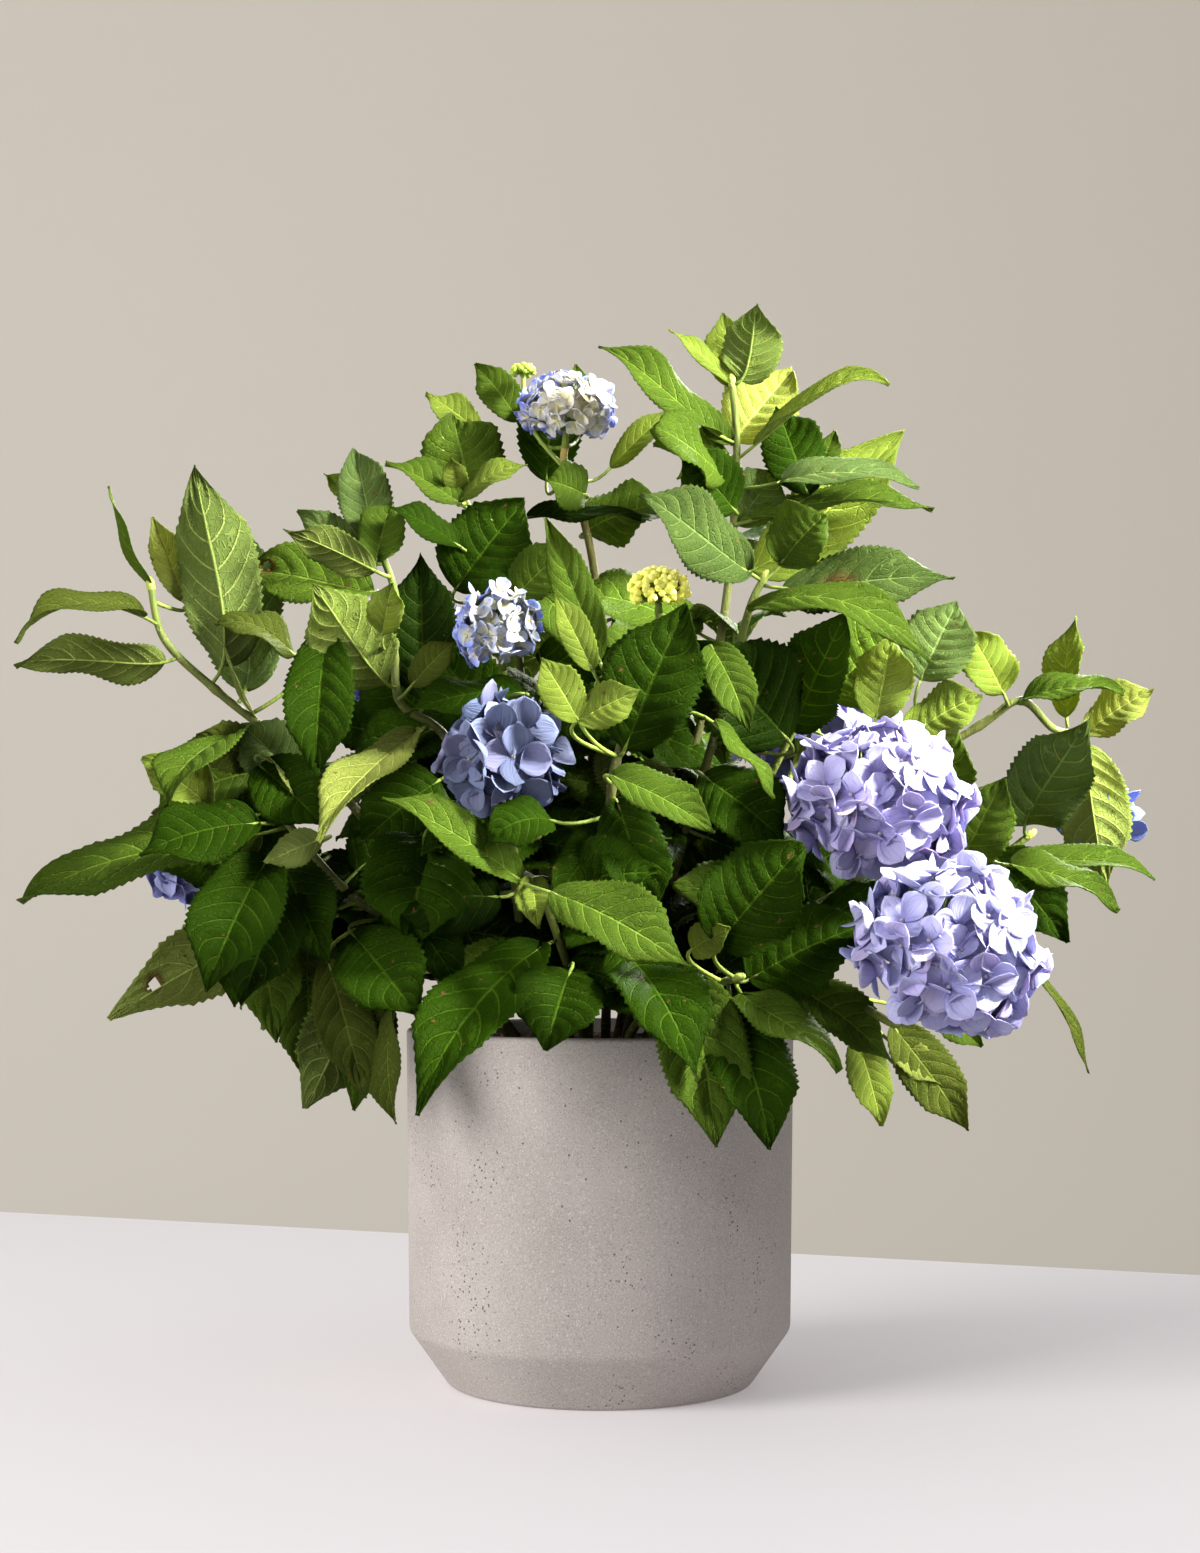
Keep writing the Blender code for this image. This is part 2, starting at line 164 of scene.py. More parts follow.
# Each flower head: its cane, its middle, its three half-sizes, the way it faces, its florets and their reach.
HEADS = {
    "white": ("white_head", (-0.024, 0.000, 0.703), (0.036, 0.034, 0.026), (0.05, -0.15, 1.0), 84, 0.0090),
    "upper_blue": (
        "upper_blue", (-0.070, -0.100, 0.534), (0.0295, 0.028, 0.030), (-0.1, -0.5, 0.9), 62, 0.0100,
    ),
    "middle_blue": (
        "middle_blue", (-0.065, -0.142, 0.440), (0.037, 0.039, 0.046), (-0.1, -0.6, 0.8), 36, 0.0205,
    ),
    "great_blue": ("great_blue", (0.187, -0.118, 0.412), (0.064, 0.058, 0.057), (0.2, -0.6, 0.8), 74, 0.0195),
    "lower_blue": ("lower_blue", (0.222, -0.200, 0.315), (0.064, 0.058, 0.058), (0.4, -0.6, 0.7), 74, 0.0195),
    "green": ("green_head", (0.040, -0.104, 0.560), (0.022, 0.021, 0.015), (0.0, -0.1, 1.0), 120, 0.0030),
    "far_right": ("far_right", (0.372, 0.080, 0.414), (0.032, 0.032, 0.030), (0.6, 0.0, 0.8), 26, 0.018),
    "far_left": ("low_left", (-0.296, 0.045, 0.384), (0.044, 0.042, 0.044), (-0.6, 0.0, 0.8), 32, 0.020),
    "back_left": ("back_left", (-0.156, 0.196, 0.545), (0.056, 0.054, 0.048), (-0.3, 0.4, 0.9), 46, 0.021),
    "back_right": ("back_right", (0.170, 0.222, 0.490), (0.062, 0.060, 0.054), (0.3, 0.5, 0.8), 52, 0.022),
}

# Each head's colours: in the middle of the dome, at its edge, and in the heart of a floret.
HEAD_COLOURS = {
    "white": ((0.740, 0.740, 0.700), (0.180, 0.240, 0.740), (0.700, 0.680, 0.400)),
    "upper_blue": ((0.420, 0.470, 0.600), (0.180, 0.260, 0.720), (0.620, 0.600, 0.360)),
    "middle_blue": ((0.092, 0.126, 0.235), (0.044, 0.062, 0.145), (0.075, 0.092, 0.190)),
    "great_blue": ((0.440, 0.435, 0.670), (0.245, 0.245, 0.530), (0.230, 0.210, 0.480)),
    "lower_blue": ((0.425, 0.440, 0.680), (0.235, 0.255, 0.540), (0.220, 0.220, 0.490)),
    "green": ((1.00, 1.00, 0.30), (0.92, 0.95, 0.15), (0.60, 0.62, 0.12)),
    "far_right": ((0.150, 0.225, 0.560), (0.080, 0.140, 0.450), (0.200, 0.230, 0.480)),
    "far_left": ((0.210, 0.250, 0.540), (0.130, 0.160, 0.420), (0.260, 0.260, 0.460)),
    "back_left": ((0.220, 0.230, 0.530), (0.100, 0.110, 0.370), (0.200, 0.180, 0.420)),
    "back_right": ((0.220, 0.220, 0.530), (0.100, 0.100, 0.350), (0.180, 0.160, 0.420)),
}

# Heads still opening: cream on the side that shows, and blue round it.
PALE_FRONTS = ("white", "upper_blue")
PALE_SIDE = Vector((0.25, -0.95, 0.05))

# How far the palest sepals of a head are bleached, where they are more so than in the others.
BLEACHED = {
    "middle_blue": 0.18,
    "great_blue": 0.52,
    "lower_blue": 0.52,
    "far_left": 0.34,
    "back_left": 0.34,
    "back_right": 0.34,
}

# Where a leaf's upper face looks.
LOOKS = {
    "front": (0.0, -1.0, 0.3),
    "tilted": (0.0, -0.8, 0.6),
    "up": (0.0, -0.65, 0.75),
    "under": (0.1, 1.0, 0.3),
    "left": (-0.9, -0.45, 0.2),
    "right": (0.9, -0.45, 0.2),
}

# The colour of a leaf's upper face. Deep and dark also paint shade on leaves inside and low in the plant;
# bright and yellow partly paint light on leaves that are lit or lit through.
TONES = {
    "deep": (0.005, 0.014, 0.0006),
    "dark": (0.012, 0.032, 0.001),
    "mid": (0.046, 0.084, 0.008),
    "bright": (0.124, 0.180, 0.024),
    "yellow": (0.200, 0.250, 0.050),
    "soft": (0.042, 0.072, 0.016),
    "olive": (0.050, 0.070, 0.010),
    "grey": (0.070, 0.114, 0.030),
    "pale": (0.160, 0.200, 0.050),
}

# Each large leaf, as in the CAD: cane, place along it, tip, width, where its upper face looks, arch; then
# its tone.
LARGE_LEAVES = {
    "left_tall": ("left", 4.1, (-0.283, -0.066, 0.652), 0.060, (0.1, 1.0, 0.1), 0.004, "soft"),
    "left_far": ("left", 4.7, (-0.407, -0.076, 0.511), 0.042, (0.0, 0.8, 0.8), 0.012, "olive"),
    "left_arc": ("left", 5.3, (-0.396, -0.120, 0.522), 0.030, (0.1, -0.7, 0.8), 0.034, "olive"),
    "left_behind": ("left", 3.6, (-0.262, 0.030, 0.622), 0.066, (-0.3, -1.0, 0.0), 0.006, "grey"),
    "pale_mid_left": ("mid_left", 3.1, (-0.196, -0.110, 0.563), 0.058, (-0.2, 1.0, 0.3), -0.006, "bright"),
    "oval_mid_left": ("mid_left", 4.2, (-0.258, -0.020, 0.583), 0.050, (0.0, -0.8, 0.6), 0.010, "mid"),
    "yellow_mid_left": ("mid_left", 2.4, (-0.187, -0.160, 0.387), 0.042, (-0.3, -0.8, 0.5), 0.016, "yellow"),
    "hood_left": ("left", 3.1, (-0.290, -0.130, 0.412), 0.052, (-0.5, -0.8, 0.5), 0.024, "mid"),
    "low_left_out": ("low_front_left", 3.1, (-0.402, -0.070, 0.345), 0.064, (0.0, -0.8, 0.7), 0.030, "mid"),
    "low_left_pale": (
        "low_front_left", 2.2, (-0.336, -0.100, 0.266), 0.062, (0.2, 0.8, 0.6), 0.010, "yellow",
    ),
    "drape_front_left": ("front", 1.4, (-0.117, -0.216, 0.211), 0.060, (-0.2, -0.8, 0.6), 0.034, "dark"),
    "drape_front_right": ("green_head", 0.9, (0.062, -0.212, 0.232), 0.060, (0.1, -0.8, 0.6), 0.030, "dark"),
    "drape_right": ("low_right", 1.9, (0.109, -0.206, 0.188), 0.056, (0.1, -1.0, 0.3), 0.020, "dark"),
    "low_right_out": ("low_right", 2.0, (0.150, -0.236, 0.240), 0.040, (0.1, -0.6, 0.8), 0.014, "mid"),
    "right_oval": ("right_low", 4.0, (0.330, -0.116, 0.470), 0.056, (0.1, -1.0, 0.2), 0.004, "soft"),
    "right_out": ("right_low", 3.3, (0.388, -0.064, 0.362), 0.030, (0.1, -0.7, 0.8), 0.020, "mid"),
    "right_fold": ("right_high", 5.4, (0.348, 0.010, 0.554), 0.036, (-0.8, -0.6, 0.0), 0.010, "bright"),
    "oval_centre": ("mid_right", 3.0, (0.163, -0.150, 0.539), 0.052, (-0.1, -1.0, 0.2), 0.004, "dark"),
    "large_upper": ("upper_right", 4.0, (0.027, -0.150, 0.618), 0.054, (-0.2, -0.9, 0.4), 0.008, "soft"),
    "spotted_upper": ("upper_right", 3.9, (0.241, -0.104, 0.567), 0.044, (0.1, -0.9, 0.4), 0.012, "soft"),
    "bright_top": ("top_right", 2.6, (0.223, 0.020, 0.690), 0.058, (0.3, -1.0, 0.1), 0.004, "bright"),
    "upright_top": ("top_right", 5.0, (0.114, -0.010, 0.778), 0.044, (0.2, 1.0, 0.1), 0.002, "mid"),
    "arc_top_right": ("top_right", 3.7, (0.204, -0.050, 0.711), 0.030, (0.0, -0.55, 0.9), 0.030, "bright"),
    "arc_top_left": ("top_right", 3.9, (-0.001, -0.052, 0.738), 0.036, (0.0, -0.8, 0.6), 0.012, "mid"),
    "round_top_left": ("top_left", 4.0, (-0.108, 0.030, 0.705), 0.062, (0.0, -1.0, 0.3), 0.002, "mid"),
    "back_low": ("back_left", 1.2, (-0.060, 0.250, 0.300), 0.060, (0.0, 0.8, 0.6), 0.024, "mid"),
    "back_high": ("back_right", 1.5, (0.040, 0.215, 0.520), 0.058, (-0.2, 0.9, 0.4), 0.010, "mid"),
}

# Each smaller leaf: where its blade starts and ends, its width, where its upper face looks, its arch and
# its tone.
SMALL_LEAVES = [
    # the left shoot
    ((-0.317, -0.048, 0.568), (-0.345, -0.055, 0.639), 0.018, "left", 0.004, "mid"),
    ((-0.295, -0.030, 0.560), (-0.319, -0.030, 0.621), 0.022, "front", 0.004, "yellow"),
    ((-0.215, -0.050, 0.520), (-0.269, -0.060, 0.540), 0.032, "up", 0.014, "olive"),
    ((-0.243, -0.050, 0.476), (-0.262, -0.070, 0.527), 0.010, "left", 0.002, "pale"),
    # left of the middle
    ((-0.159, -0.040, 0.588), (-0.149, -0.030, 0.632), 0.030, "front", 0.003, "mid"),
    ((-0.160, -0.030, 0.600), (-0.178, 0.000, 0.675), 0.034, "front", 0.004, "grey"),
    ((-0.175, 0.000, 0.635), (-0.200, 0.000, 0.657), 0.014, "front", 0.002, "bright"),
    ((-0.170, -0.020, 0.590), (-0.217, -0.020, 0.627), 0.026, "front", 0.004, "grey"),
    ((-0.159, -0.050, 0.580), (-0.220, -0.070, 0.606), 0.026, "under", 0.006, "olive"),
    ((-0.100, -0.030, 0.600), (-0.148, -0.050, 0.625), 0.024, "tilted", 0.004, "dark"),
    ((-0.190, -0.080, 0.530), (-0.195, -0.100, 0.430), 0.042, "front", 0.008, "dark"),
    ((-0.125, -0.040, 0.490), (-0.128, -0.030, 0.594), 0.046, "front", 0.006, "deep"),
    ((-0.150, -0.090, 0.530), (-0.141, -0.110, 0.564), 0.022, "front", 0.004, "bright"),
    ((-0.052, -0.090, 0.490), (-0.134, -0.100, 0.475), 0.032, "up", 0.008, "dark"),
    ((-0.130, -0.080, 0.497), (-0.100, -0.090, 0.526), 0.022, "front", 0.004, "olive"),
    ((-0.053, -0.150, 0.361), (-0.140, -0.200, 0.414), 0.034, "tilted", 0.008, "mid"),
    ((-0.120, -0.110, 0.390), (-0.126, -0.130, 0.318), 0.066, "front", 0.008, "dark"),
    ((-0.070, -0.100, 0.350), (-0.150, -0.130, 0.345), 0.050, "front", 0.010, "deep"),
    ((-0.235, -0.080, 0.440), (-0.190, -0.100, 0.400), 0.045, "front", 0.006, "dark"),
    ((-0.215, -0.060, 0.435), (-0.250, -0.070, 0.470), 0.040, "front", 0.004, "grey"),
    ((-0.240, -0.060, 0.445), (-0.280, -0.080, 0.462), 0.032, "front", 0.004, "olive"),
    ((-0.190, -0.100, 0.390), (-0.225, -0.130, 0.373), 0.022, "under", 0.004, "pale"),
    ((-0.235, -0.080, 0.448), (-0.212, -0.090, 0.408), 0.016, "right", 0.012, "pale"),
    # over the far left head
    ((-0.232, -0.020, 0.405), (-0.322, -0.020, 0.372), 0.066, "front", 0.008, "dark"),
    ((-0.245, -0.020, 0.440), (-0.318, -0.030, 0.408), 0.056, "tilted", 0.008, "mid"),
    ((-0.200, -0.020, 0.380), (-0.285, -0.030, 0.335), 0.060, "front", 0.008, "dark"),
    # low on the left
    ((-0.270, -0.060, 0.410), (-0.318, -0.080, 0.445), 0.036, "tilted", 0.006, "bright"),
    ((-0.233, -0.110, 0.400), (-0.308, -0.140, 0.378), 0.046, "tilted", 0.008, "dark"),
    ((-0.228, -0.100, 0.375), (-0.262, -0.150, 0.287), 0.052, "front", 0.010, "dark"),
    ((-0.215, -0.090, 0.360), (-0.240, -0.140, 0.275), 0.044, "front", 0.008, "deep"),
    ((-0.195, -0.060, 0.330), (-0.238, -0.050, 0.256), 0.042, "under", 0.006, "olive"),
    ((-0.220, -0.080, 0.375), (-0.185, -0.120, 0.305), 0.046, "front", 0.008, "dark"),
    ((-0.160, -0.100, 0.290), (-0.199, -0.120, 0.207), 0.048, "under", 0.008, "dark"),
    ((-0.150, -0.080, 0.280), (-0.169, -0.100, 0.204), 0.032, "front", 0.006, "mid"),
    ((-0.140, -0.100, 0.280), (-0.135, -0.155, 0.200), 0.032, "left", 0.006, "olive"),
    ((-0.170, -0.100, 0.325), (-0.120, -0.150, 0.270), 0.052, "front", 0.008, "dark"),
    ((-0.205, -0.060, 0.315), (-0.200, -0.080, 0.218), 0.040, "front", 0.006, "mid"),
    ((-0.188, -0.080, 0.305), (-0.158, -0.120, 0.214), 0.036, "front", 0.006, "olive"),
    ((-0.240, -0.060, 0.345), (-0.222, -0.095, 0.250), 0.044, "tilted", 0.006, "mid"),
    ((-0.242, -0.080, 0.330), (-0.249, -0.110, 0.275), 0.032, "front", 0.006, "dark"),
    # low in the middle and on the right
    ((-0.020, -0.135, 0.300), (-0.035, -0.185, 0.250), 0.052, "front", 0.010, "dark"),
    ((0.060, -0.150, 0.295), (0.075, -0.200, 0.189), 0.052, "front", 0.014, "mid"),
    ((-0.032, -0.190, 0.353), (0.057, -0.220, 0.305), 0.044, "tilted", 0.008, "mid"),
    ((-0.045, -0.150, 0.360), (-0.040, -0.190, 0.330), 0.022, "tilted", 0.004, "bright"),
    ((-0.020, -0.160, 0.360), (0.037, -0.180, 0.366), 0.046, "front", 0.006, "dark"),
    ((0.077, -0.170, 0.319), (0.133, -0.180, 0.384), 0.058, "front", 0.006, "dark"),
    ((0.100, -0.140, 0.295), (0.177, -0.140, 0.331), 0.060, "tilted", 0.006, "dark"),
    ((0.130, -0.130, 0.290), (0.197, -0.130, 0.238), 0.038, "tilted", 0.008, "mid"),
    ((0.175, -0.110, 0.255), (0.192, -0.110, 0.194), 0.026, "front", 0.004, "bright"),
    ((0.200, -0.100, 0.262), (0.252, -0.100, 0.190), 0.034, "front", 0.008, "olive"),
    ((0.300, -0.010, 0.315), (0.355, 0.000, 0.222), 0.014, "right", 0.006, "olive"),
    ((0.200, -0.100, 0.250), (0.232, -0.105, 0.222), 0.020, "front", 0.003, "yellow"),
    ((0.235, -0.050, 0.265), (0.268, -0.060, 0.245), 0.022, "tilted", 0.003, "mid"),
    ((0.060, -0.160, 0.315), (0.085, -0.180, 0.330), 0.022, "front", 0.003, "bright"),
    # the right
    ((0.290, -0.020, 0.495), (0.264, -0.020, 0.541), 0.034, "front", 0.004, "bright"),
    ((0.305, -0.010, 0.492), (0.372, -0.040, 0.495), 0.030, "up", 0.008, "mid"),
    ((0.356, 0.016, 0.470), (0.402, 0.000, 0.501), 0.033, "tilted", 0.004, "yellow"),
    ((0.355, 0.020, 0.460), (0.375, 0.040, 0.356), 0.048, "under", 0.008, "yellow"),
    ((0.284, -0.080, 0.372), (0.356, -0.100, 0.341), 0.030, "up", 0.008, "mid"),
    ((0.275, -0.045, 0.383), (0.326, -0.070, 0.318), 0.042, "front", 0.006, "dark"),
    ((0.248, -0.080, 0.370), (0.275, -0.110, 0.431), 0.040, "front", 0.004, "mid"),
    ((0.215, -0.045, 0.400), (0.250, -0.060, 0.470), 0.055, "front", 0.004, "mid"),
    ((0.215, -0.070, 0.462), (0.265, -0.080, 0.490), 0.038, "tilted", 0.004, "bright"),
    # in front of the two back heads
    ((0.170, 0.060, 0.500), (0.228, 0.050, 0.556), 0.062, "front", 0.004, "mid"),
    ((-0.118, 0.050, 0.470), (-0.180, 0.050, 0.532), 0.052, "front", 0.004, "dark"),
    # between the right and the middle
    ((0.188, -0.110, 0.472), (0.197, -0.120, 0.526), 0.036, "front", 0.004, "bright"),
    ((0.103, -0.090, 0.547), (0.223, -0.140, 0.505), 0.036, "up", 0.030, "mid"),
    ((0.226, -0.050, 0.503), (0.252, -0.050, 0.558), 0.045, "front", 0.004, "grey"),
    ((0.125, -0.088, 0.580), (0.155, -0.100, 0.612), 0.046, "tilted", 0.004, "mid"),
    ((0.150, -0.010, 0.640), (0.128, 0.000, 0.706), 0.040, "front", 0.004, "dark"),
    ((0.110, -0.010, 0.622), (0.241, -0.010, 0.630), 0.028, "up", 0.012, "mid"),
    ((0.130, -0.020, 0.648), (0.228, -0.030, 0.642), 0.026, "tilted", 0.012, "grey"),
    ((0.098, -0.010, 0.628), (0.058, -0.030, 0.668), 0.040, "front", 0.004, "dark"),
    ((0.158, 0.010, 0.655), (0.172, 0.010, 0.690), 0.018, "front", 0.004, "mid"),
    ((0.130, -0.050, 0.560), (0.200, -0.050, 0.562), 0.045, "tilted", 0.006, "deep"),
    # the top right
    ((0.096, 0.010, 0.722), (0.090, 0.010, 0.776), 0.030, "front", 0.002, "bright"),
    ((0.096, 0.000, 0.722), (0.050, 0.000, 0.762), 0.014, "tilted", 0.004, "bright"),
    ((0.099, 0.020, 0.685), (0.142, 0.030, 0.738), 0.048, "front", 0.004, "yellow"),
    ((0.095, 0.000, 0.670), (0.039, 0.000, 0.677), 0.022, "tilted", 0.006, "mid"),
    ((0.095, -0.005, 0.660), (0.055, -0.020, 0.650), 0.024, "tilted", 0.004, "bright"),
    ((0.095, 0.000, 0.680), (0.070, -0.010, 0.700), 0.018, "front", 0.003, "mid"),
    ((0.100, 0.000, 0.620), (0.130, 0.000, 0.660), 0.036, "front", 0.004, "grey"),
    ((0.098, 0.000, 0.630), (0.083, 0.000, 0.662), 0.016, "front", 0.002, "dark"),
    # the top left
    ((-0.090, 0.040, 0.695), (-0.130, 0.050, 0.726), 0.024, "front", 0.004, "bright"),
    ((-0.060, 0.050, 0.705), (-0.093, 0.050, 0.748), 0.026, "front", 0.004, "mid"),
    ((-0.100, -0.020, 0.632), (-0.153, -0.030, 0.660), 0.026, "tilted", 0.004, "mid"),
    ((-0.100, -0.020, 0.635), (-0.052, -0.030, 0.658), 0.020, "tilted", 0.008, "bright"),
    ((-0.102, -0.015, 0.640), (-0.106, -0.035, 0.662), 0.016, "front", 0.002, "bright"),
    ((-0.104, -0.020, 0.570), (-0.054, -0.020, 0.634), 0.054, "front", 0.004, "dark"),
    ((-0.040, 0.050, 0.660), (-0.034, 0.050, 0.741), 0.042, "front", 0.004, "dark"),
    ((-0.010, 0.030, 0.620), (0.050, 0.030, 0.640), 0.052, "tilted", 0.006, "mid"),
    ((0.008, 0.060, 0.672), (0.056, 0.060, 0.718), 0.018, "front", 0.004, "bright"),
    ((-0.010, -0.010, 0.640), (-0.038, -0.025, 0.648), 0.034, "front", 0.003, "mid"),
    ((-0.055, 0.000, 0.625), (0.030, 0.000, 0.625), 0.022, "up", 0.004, "deep"),
    ((-0.065, -0.030, 0.560), (-0.020, -0.040, 0.600), 0.032, "front", 0.004, "mid"),
    ((-0.015, 0.030, 0.700), (-0.018, 0.040, 0.745), 0.020, "front", 0.003, "mid"),
    # the middle
    ((0.000, -0.140, 0.507), (-0.036, -0.150, 0.602), 0.025, "front", 0.004, "mid"),
    ((-0.005, -0.160, 0.500), (-0.030, -0.170, 0.549), 0.020, "front", 0.003, "bright"),
    ((0.000, -0.150, 0.495), (0.050, -0.160, 0.530), 0.022, "front", 0.003, "mid"),
    ((0.016, -0.150, 0.447), (0.057, -0.160, 0.543), 0.056, "front", 0.006, "dark"),
    ((-0.014, -0.180, 0.465), (-0.038, -0.190, 0.505), 0.026, "front", 0.003, "bright"),
    ((-0.014, -0.180, 0.465), (0.026, -0.190, 0.484), 0.026, "front", 0.003, "bright"),
    ((0.008, -0.170, 0.429), (0.075, -0.180, 0.392), 0.030, "tilted", 0.006, "mid"),
    ((0.075, -0.160, 0.465), (0.115, -0.165, 0.415), 0.024, "right", 0.004, "mid"),
    ((0.075, -0.120, 0.520), (0.100, -0.140, 0.460), 0.028, "front", 0.012, "mid"),
    ((0.128, -0.110, 0.457), (0.065, -0.115, 0.520), 0.070, "front", 0.006, "deep"),
    ((-0.030, -0.160, 0.400), (-0.075, -0.175, 0.385), 0.034, "tilted", 0.012, "dark"),
    ((0.012, -0.152, 0.412), (0.034, -0.172, 0.334), 0.040, "front", 0.008, "dark"),
    ((0.004, -0.150, 0.392), (-0.030, -0.168, 0.346), 0.030, "front", 0.008, "dark"),
    ((-0.072, -0.045, 0.470), (-0.122, -0.055, 0.528), 0.048, "front", 0.004, "dark"),
    ((0.072, -0.100, 0.432), (0.125, -0.130, 0.386), 0.048, "front", 0.006, "dark"),
    ((-0.112, -0.062, 0.432), (-0.166, -0.085, 0.386), 0.044, "front", 0.006, "dark"),
]

# Holes eaten in leaves: the leaf, then each hole's place across (-1 to 1) and along (0 to 1), and its radius.
HOLES = {
    "spotted_upper": [(0.34, 0.36, 0.0078)],
    "low_left_pale": [(-0.25, 0.78, 0.0036)],
    "oval_mid_left": [(0.20, 0.80, 0.0030)],
}

# The tints that open sepals fade to.
PINK_BLUSH = (0.48, 0.36, 0.62)
PALE_BLUSH = (0.52, 0.52, 0.76)

# Stems, from the soil up, and bark chips.
WOOD = (0.036, 0.025, 0.012)
GREEN_WOOD = (0.052, 0.058, 0.014)
SHOOT_GREEN = (0.078, 0.108, 0.018)
GREEN_STEM = (0.130, 0.180, 0.030)
TAN_STEM = (0.230, 0.180, 0.050)
BARK_TONES = [(0.19, 0.098, 0.060), (0.27, 0.160, 0.100), (0.110, 0.058, 0.036), (0.34, 0.23, 0.15)]

# How far out the filling leaves may reach: up to this height, from this X to that one.
OUTLINE = [
    (0.300, -0.17, 0.17),
    (0.340, -0.25, 0.26),
    (0.440, -0.31, 0.31),
    (0.510, -0.25, 0.27),
    (0.560, -0.19, 0.23),
    (0.640, -0.15, 0.22),
    (0.700, -0.11, 0.15),
]

# Places that stay clear of filling leaves: X, height, radius, and how far forward the thing to be seen is.
CLEAR = [
    (-0.165, 0.430, 0.050, -0.05),
    (-0.190, 0.545, 0.045, -0.03),
    (-0.012, 0.610, 0.030, 0.04),
    (-0.014, 0.655, 0.030, 0.04),
    (0.190, 0.645, 0.045, 0.06),
    (0.175, 0.575, 0.045, -0.04),
    (0.065, 0.600, 0.045, -0.06),
    (0.315, 0.430, 0.045, 0.00),
    (0.140, 0.500, 0.035, -0.06),
    (0.100, 0.730, 0.060, 0.06),
]


# ---------------------------------------------------------------- materials
class Graph:
    """A material's nodes, added one at a time. A plain colour is given as its three numbers."""

    def __init__(self, name):
        self.material = bpy.data.materials.new(name)
        self.material.use_nodes = True
        self.tree = self.material.node_tree
        self.tree.nodes.clear()

    def add(self, kind, inputs=None, **settings):
        node = self.tree.nodes.new("ShaderNode" + kind)
        for key, value in settings.items():
            setattr(node, key, value)
        for key, value in (inputs or {}).items():
            socket = node.inputs[key]
            if isinstance(value, bpy.types.NodeSocket):
                self.tree.links.new(value, socket)
            else:
                socket.default_value = value
        return node

    def math(self, operation, a, b=0.0, third=0.0):
        return self.add("Math", {0: a, 1: b, 2: third}, operation=operation).outputs[0]

    def times(self, a, b):
        return self.math("MULTIPLY", a, b)

    def mix(self, share, a, b, blend="MIX"):
        a, b = (c if isinstance(c, bpy.types.NodeSocket) else (*c, 1.0) for c in (a, b))
        return self.add("Mix", {0: share, 6: a, 7: b}, data_type="RGBA", blend_type=blend).outputs[2]

    def step(self, value, low, high):
        """0 at low, 1 at high, smooth between them. low may be the larger."""
        node = self.add("MapRange", {0: value, 1: low, 2: high}, interpolation_type="SMOOTHSTEP")
        return node.outputs[0]

    def object_place(self):
        return self.add("TexCoord").outputs["Object"]

    def stretched(self, place, scale):
        return self.add("Mapping", {"Vector": place, "Scale": scale}).outputs[0]

    def noise(self, scale, detail=3.0, vector=None):
        where = vector or self.object_place()
        return self.add("TexNoise", {"Vector": where, "Scale": scale, "Detail": detail}).outputs["Fac"]

    def cells(self, place, scale, feature="F1"):
        return self.add("TexVoronoi", {"Vector": place, "Scale": scale}, feature=feature).outputs

    def tone(self):
        return self.add("Attribute", attribute_name="tone").outputs["Color"]

    def bump(self, height, distance, strength, invert=False):
        inputs = {"Height": height, "Distance": distance, "Strength": strength}
        return self.add("Bump", inputs, invert=invert).outputs[0]

    def surface(self, colour, roughness, normal=None, specular=0.5):
        inputs = {"Base Color": colour, "Roughness": roughness, "Specular IOR Level": specular}
        if normal:
            inputs["Normal"] = normal
        return self.add("BsdfPrincipled", inputs)

    def thin(self, share, shader, glow, normal):
        """The shader, with this share of the light going through it, coloured by glow."""
        through = self.add("BsdfTranslucent", {"Color": glow, "Normal": normal})
        return self.add("MixShader", {0: share, 1: shader.outputs[0], 2: through.outputs[0]})

    def finish(self, shader):
        self.add("OutputMaterial", {"Surface": shader.outputs[0]})
        return self.material


def leaf_veins(g, place):
    """How much a spot is on a midrib or side vein, and how much on the fine net between them."""
    split = g.add("SeparateXYZ", {0: place}).outputs
    across = g.math("ABSOLUTE", g.math("SUBTRACT", g.times(split[0], 2.0), 1.0))
    rise = g.times(across, g.math("MULTIPLY_ADD", across, VEIN_CURVE, VEIN_RISE))
    phase = g.math("SUBTRACT", g.times(split[1], LEAF_VEINS), rise)
    side_vein = g.step(g.math("PINGPONG", phase, 0.5), 0.080, 0.025)
    side_vein = g.times(side_vein, g.step(across, 1.0, 0.6))
    vein = g.math("MAXIMUM", g.times(side_vein, 0.85), g.step(across, 0.050, 0.018))
    net = g.cells(g.stretched(place, (7.0, 15.0, 1.0)), 2.2, "DISTANCE_TO_EDGE")
    return vein, g.step(net["Distance"], 0.09, 0.01)


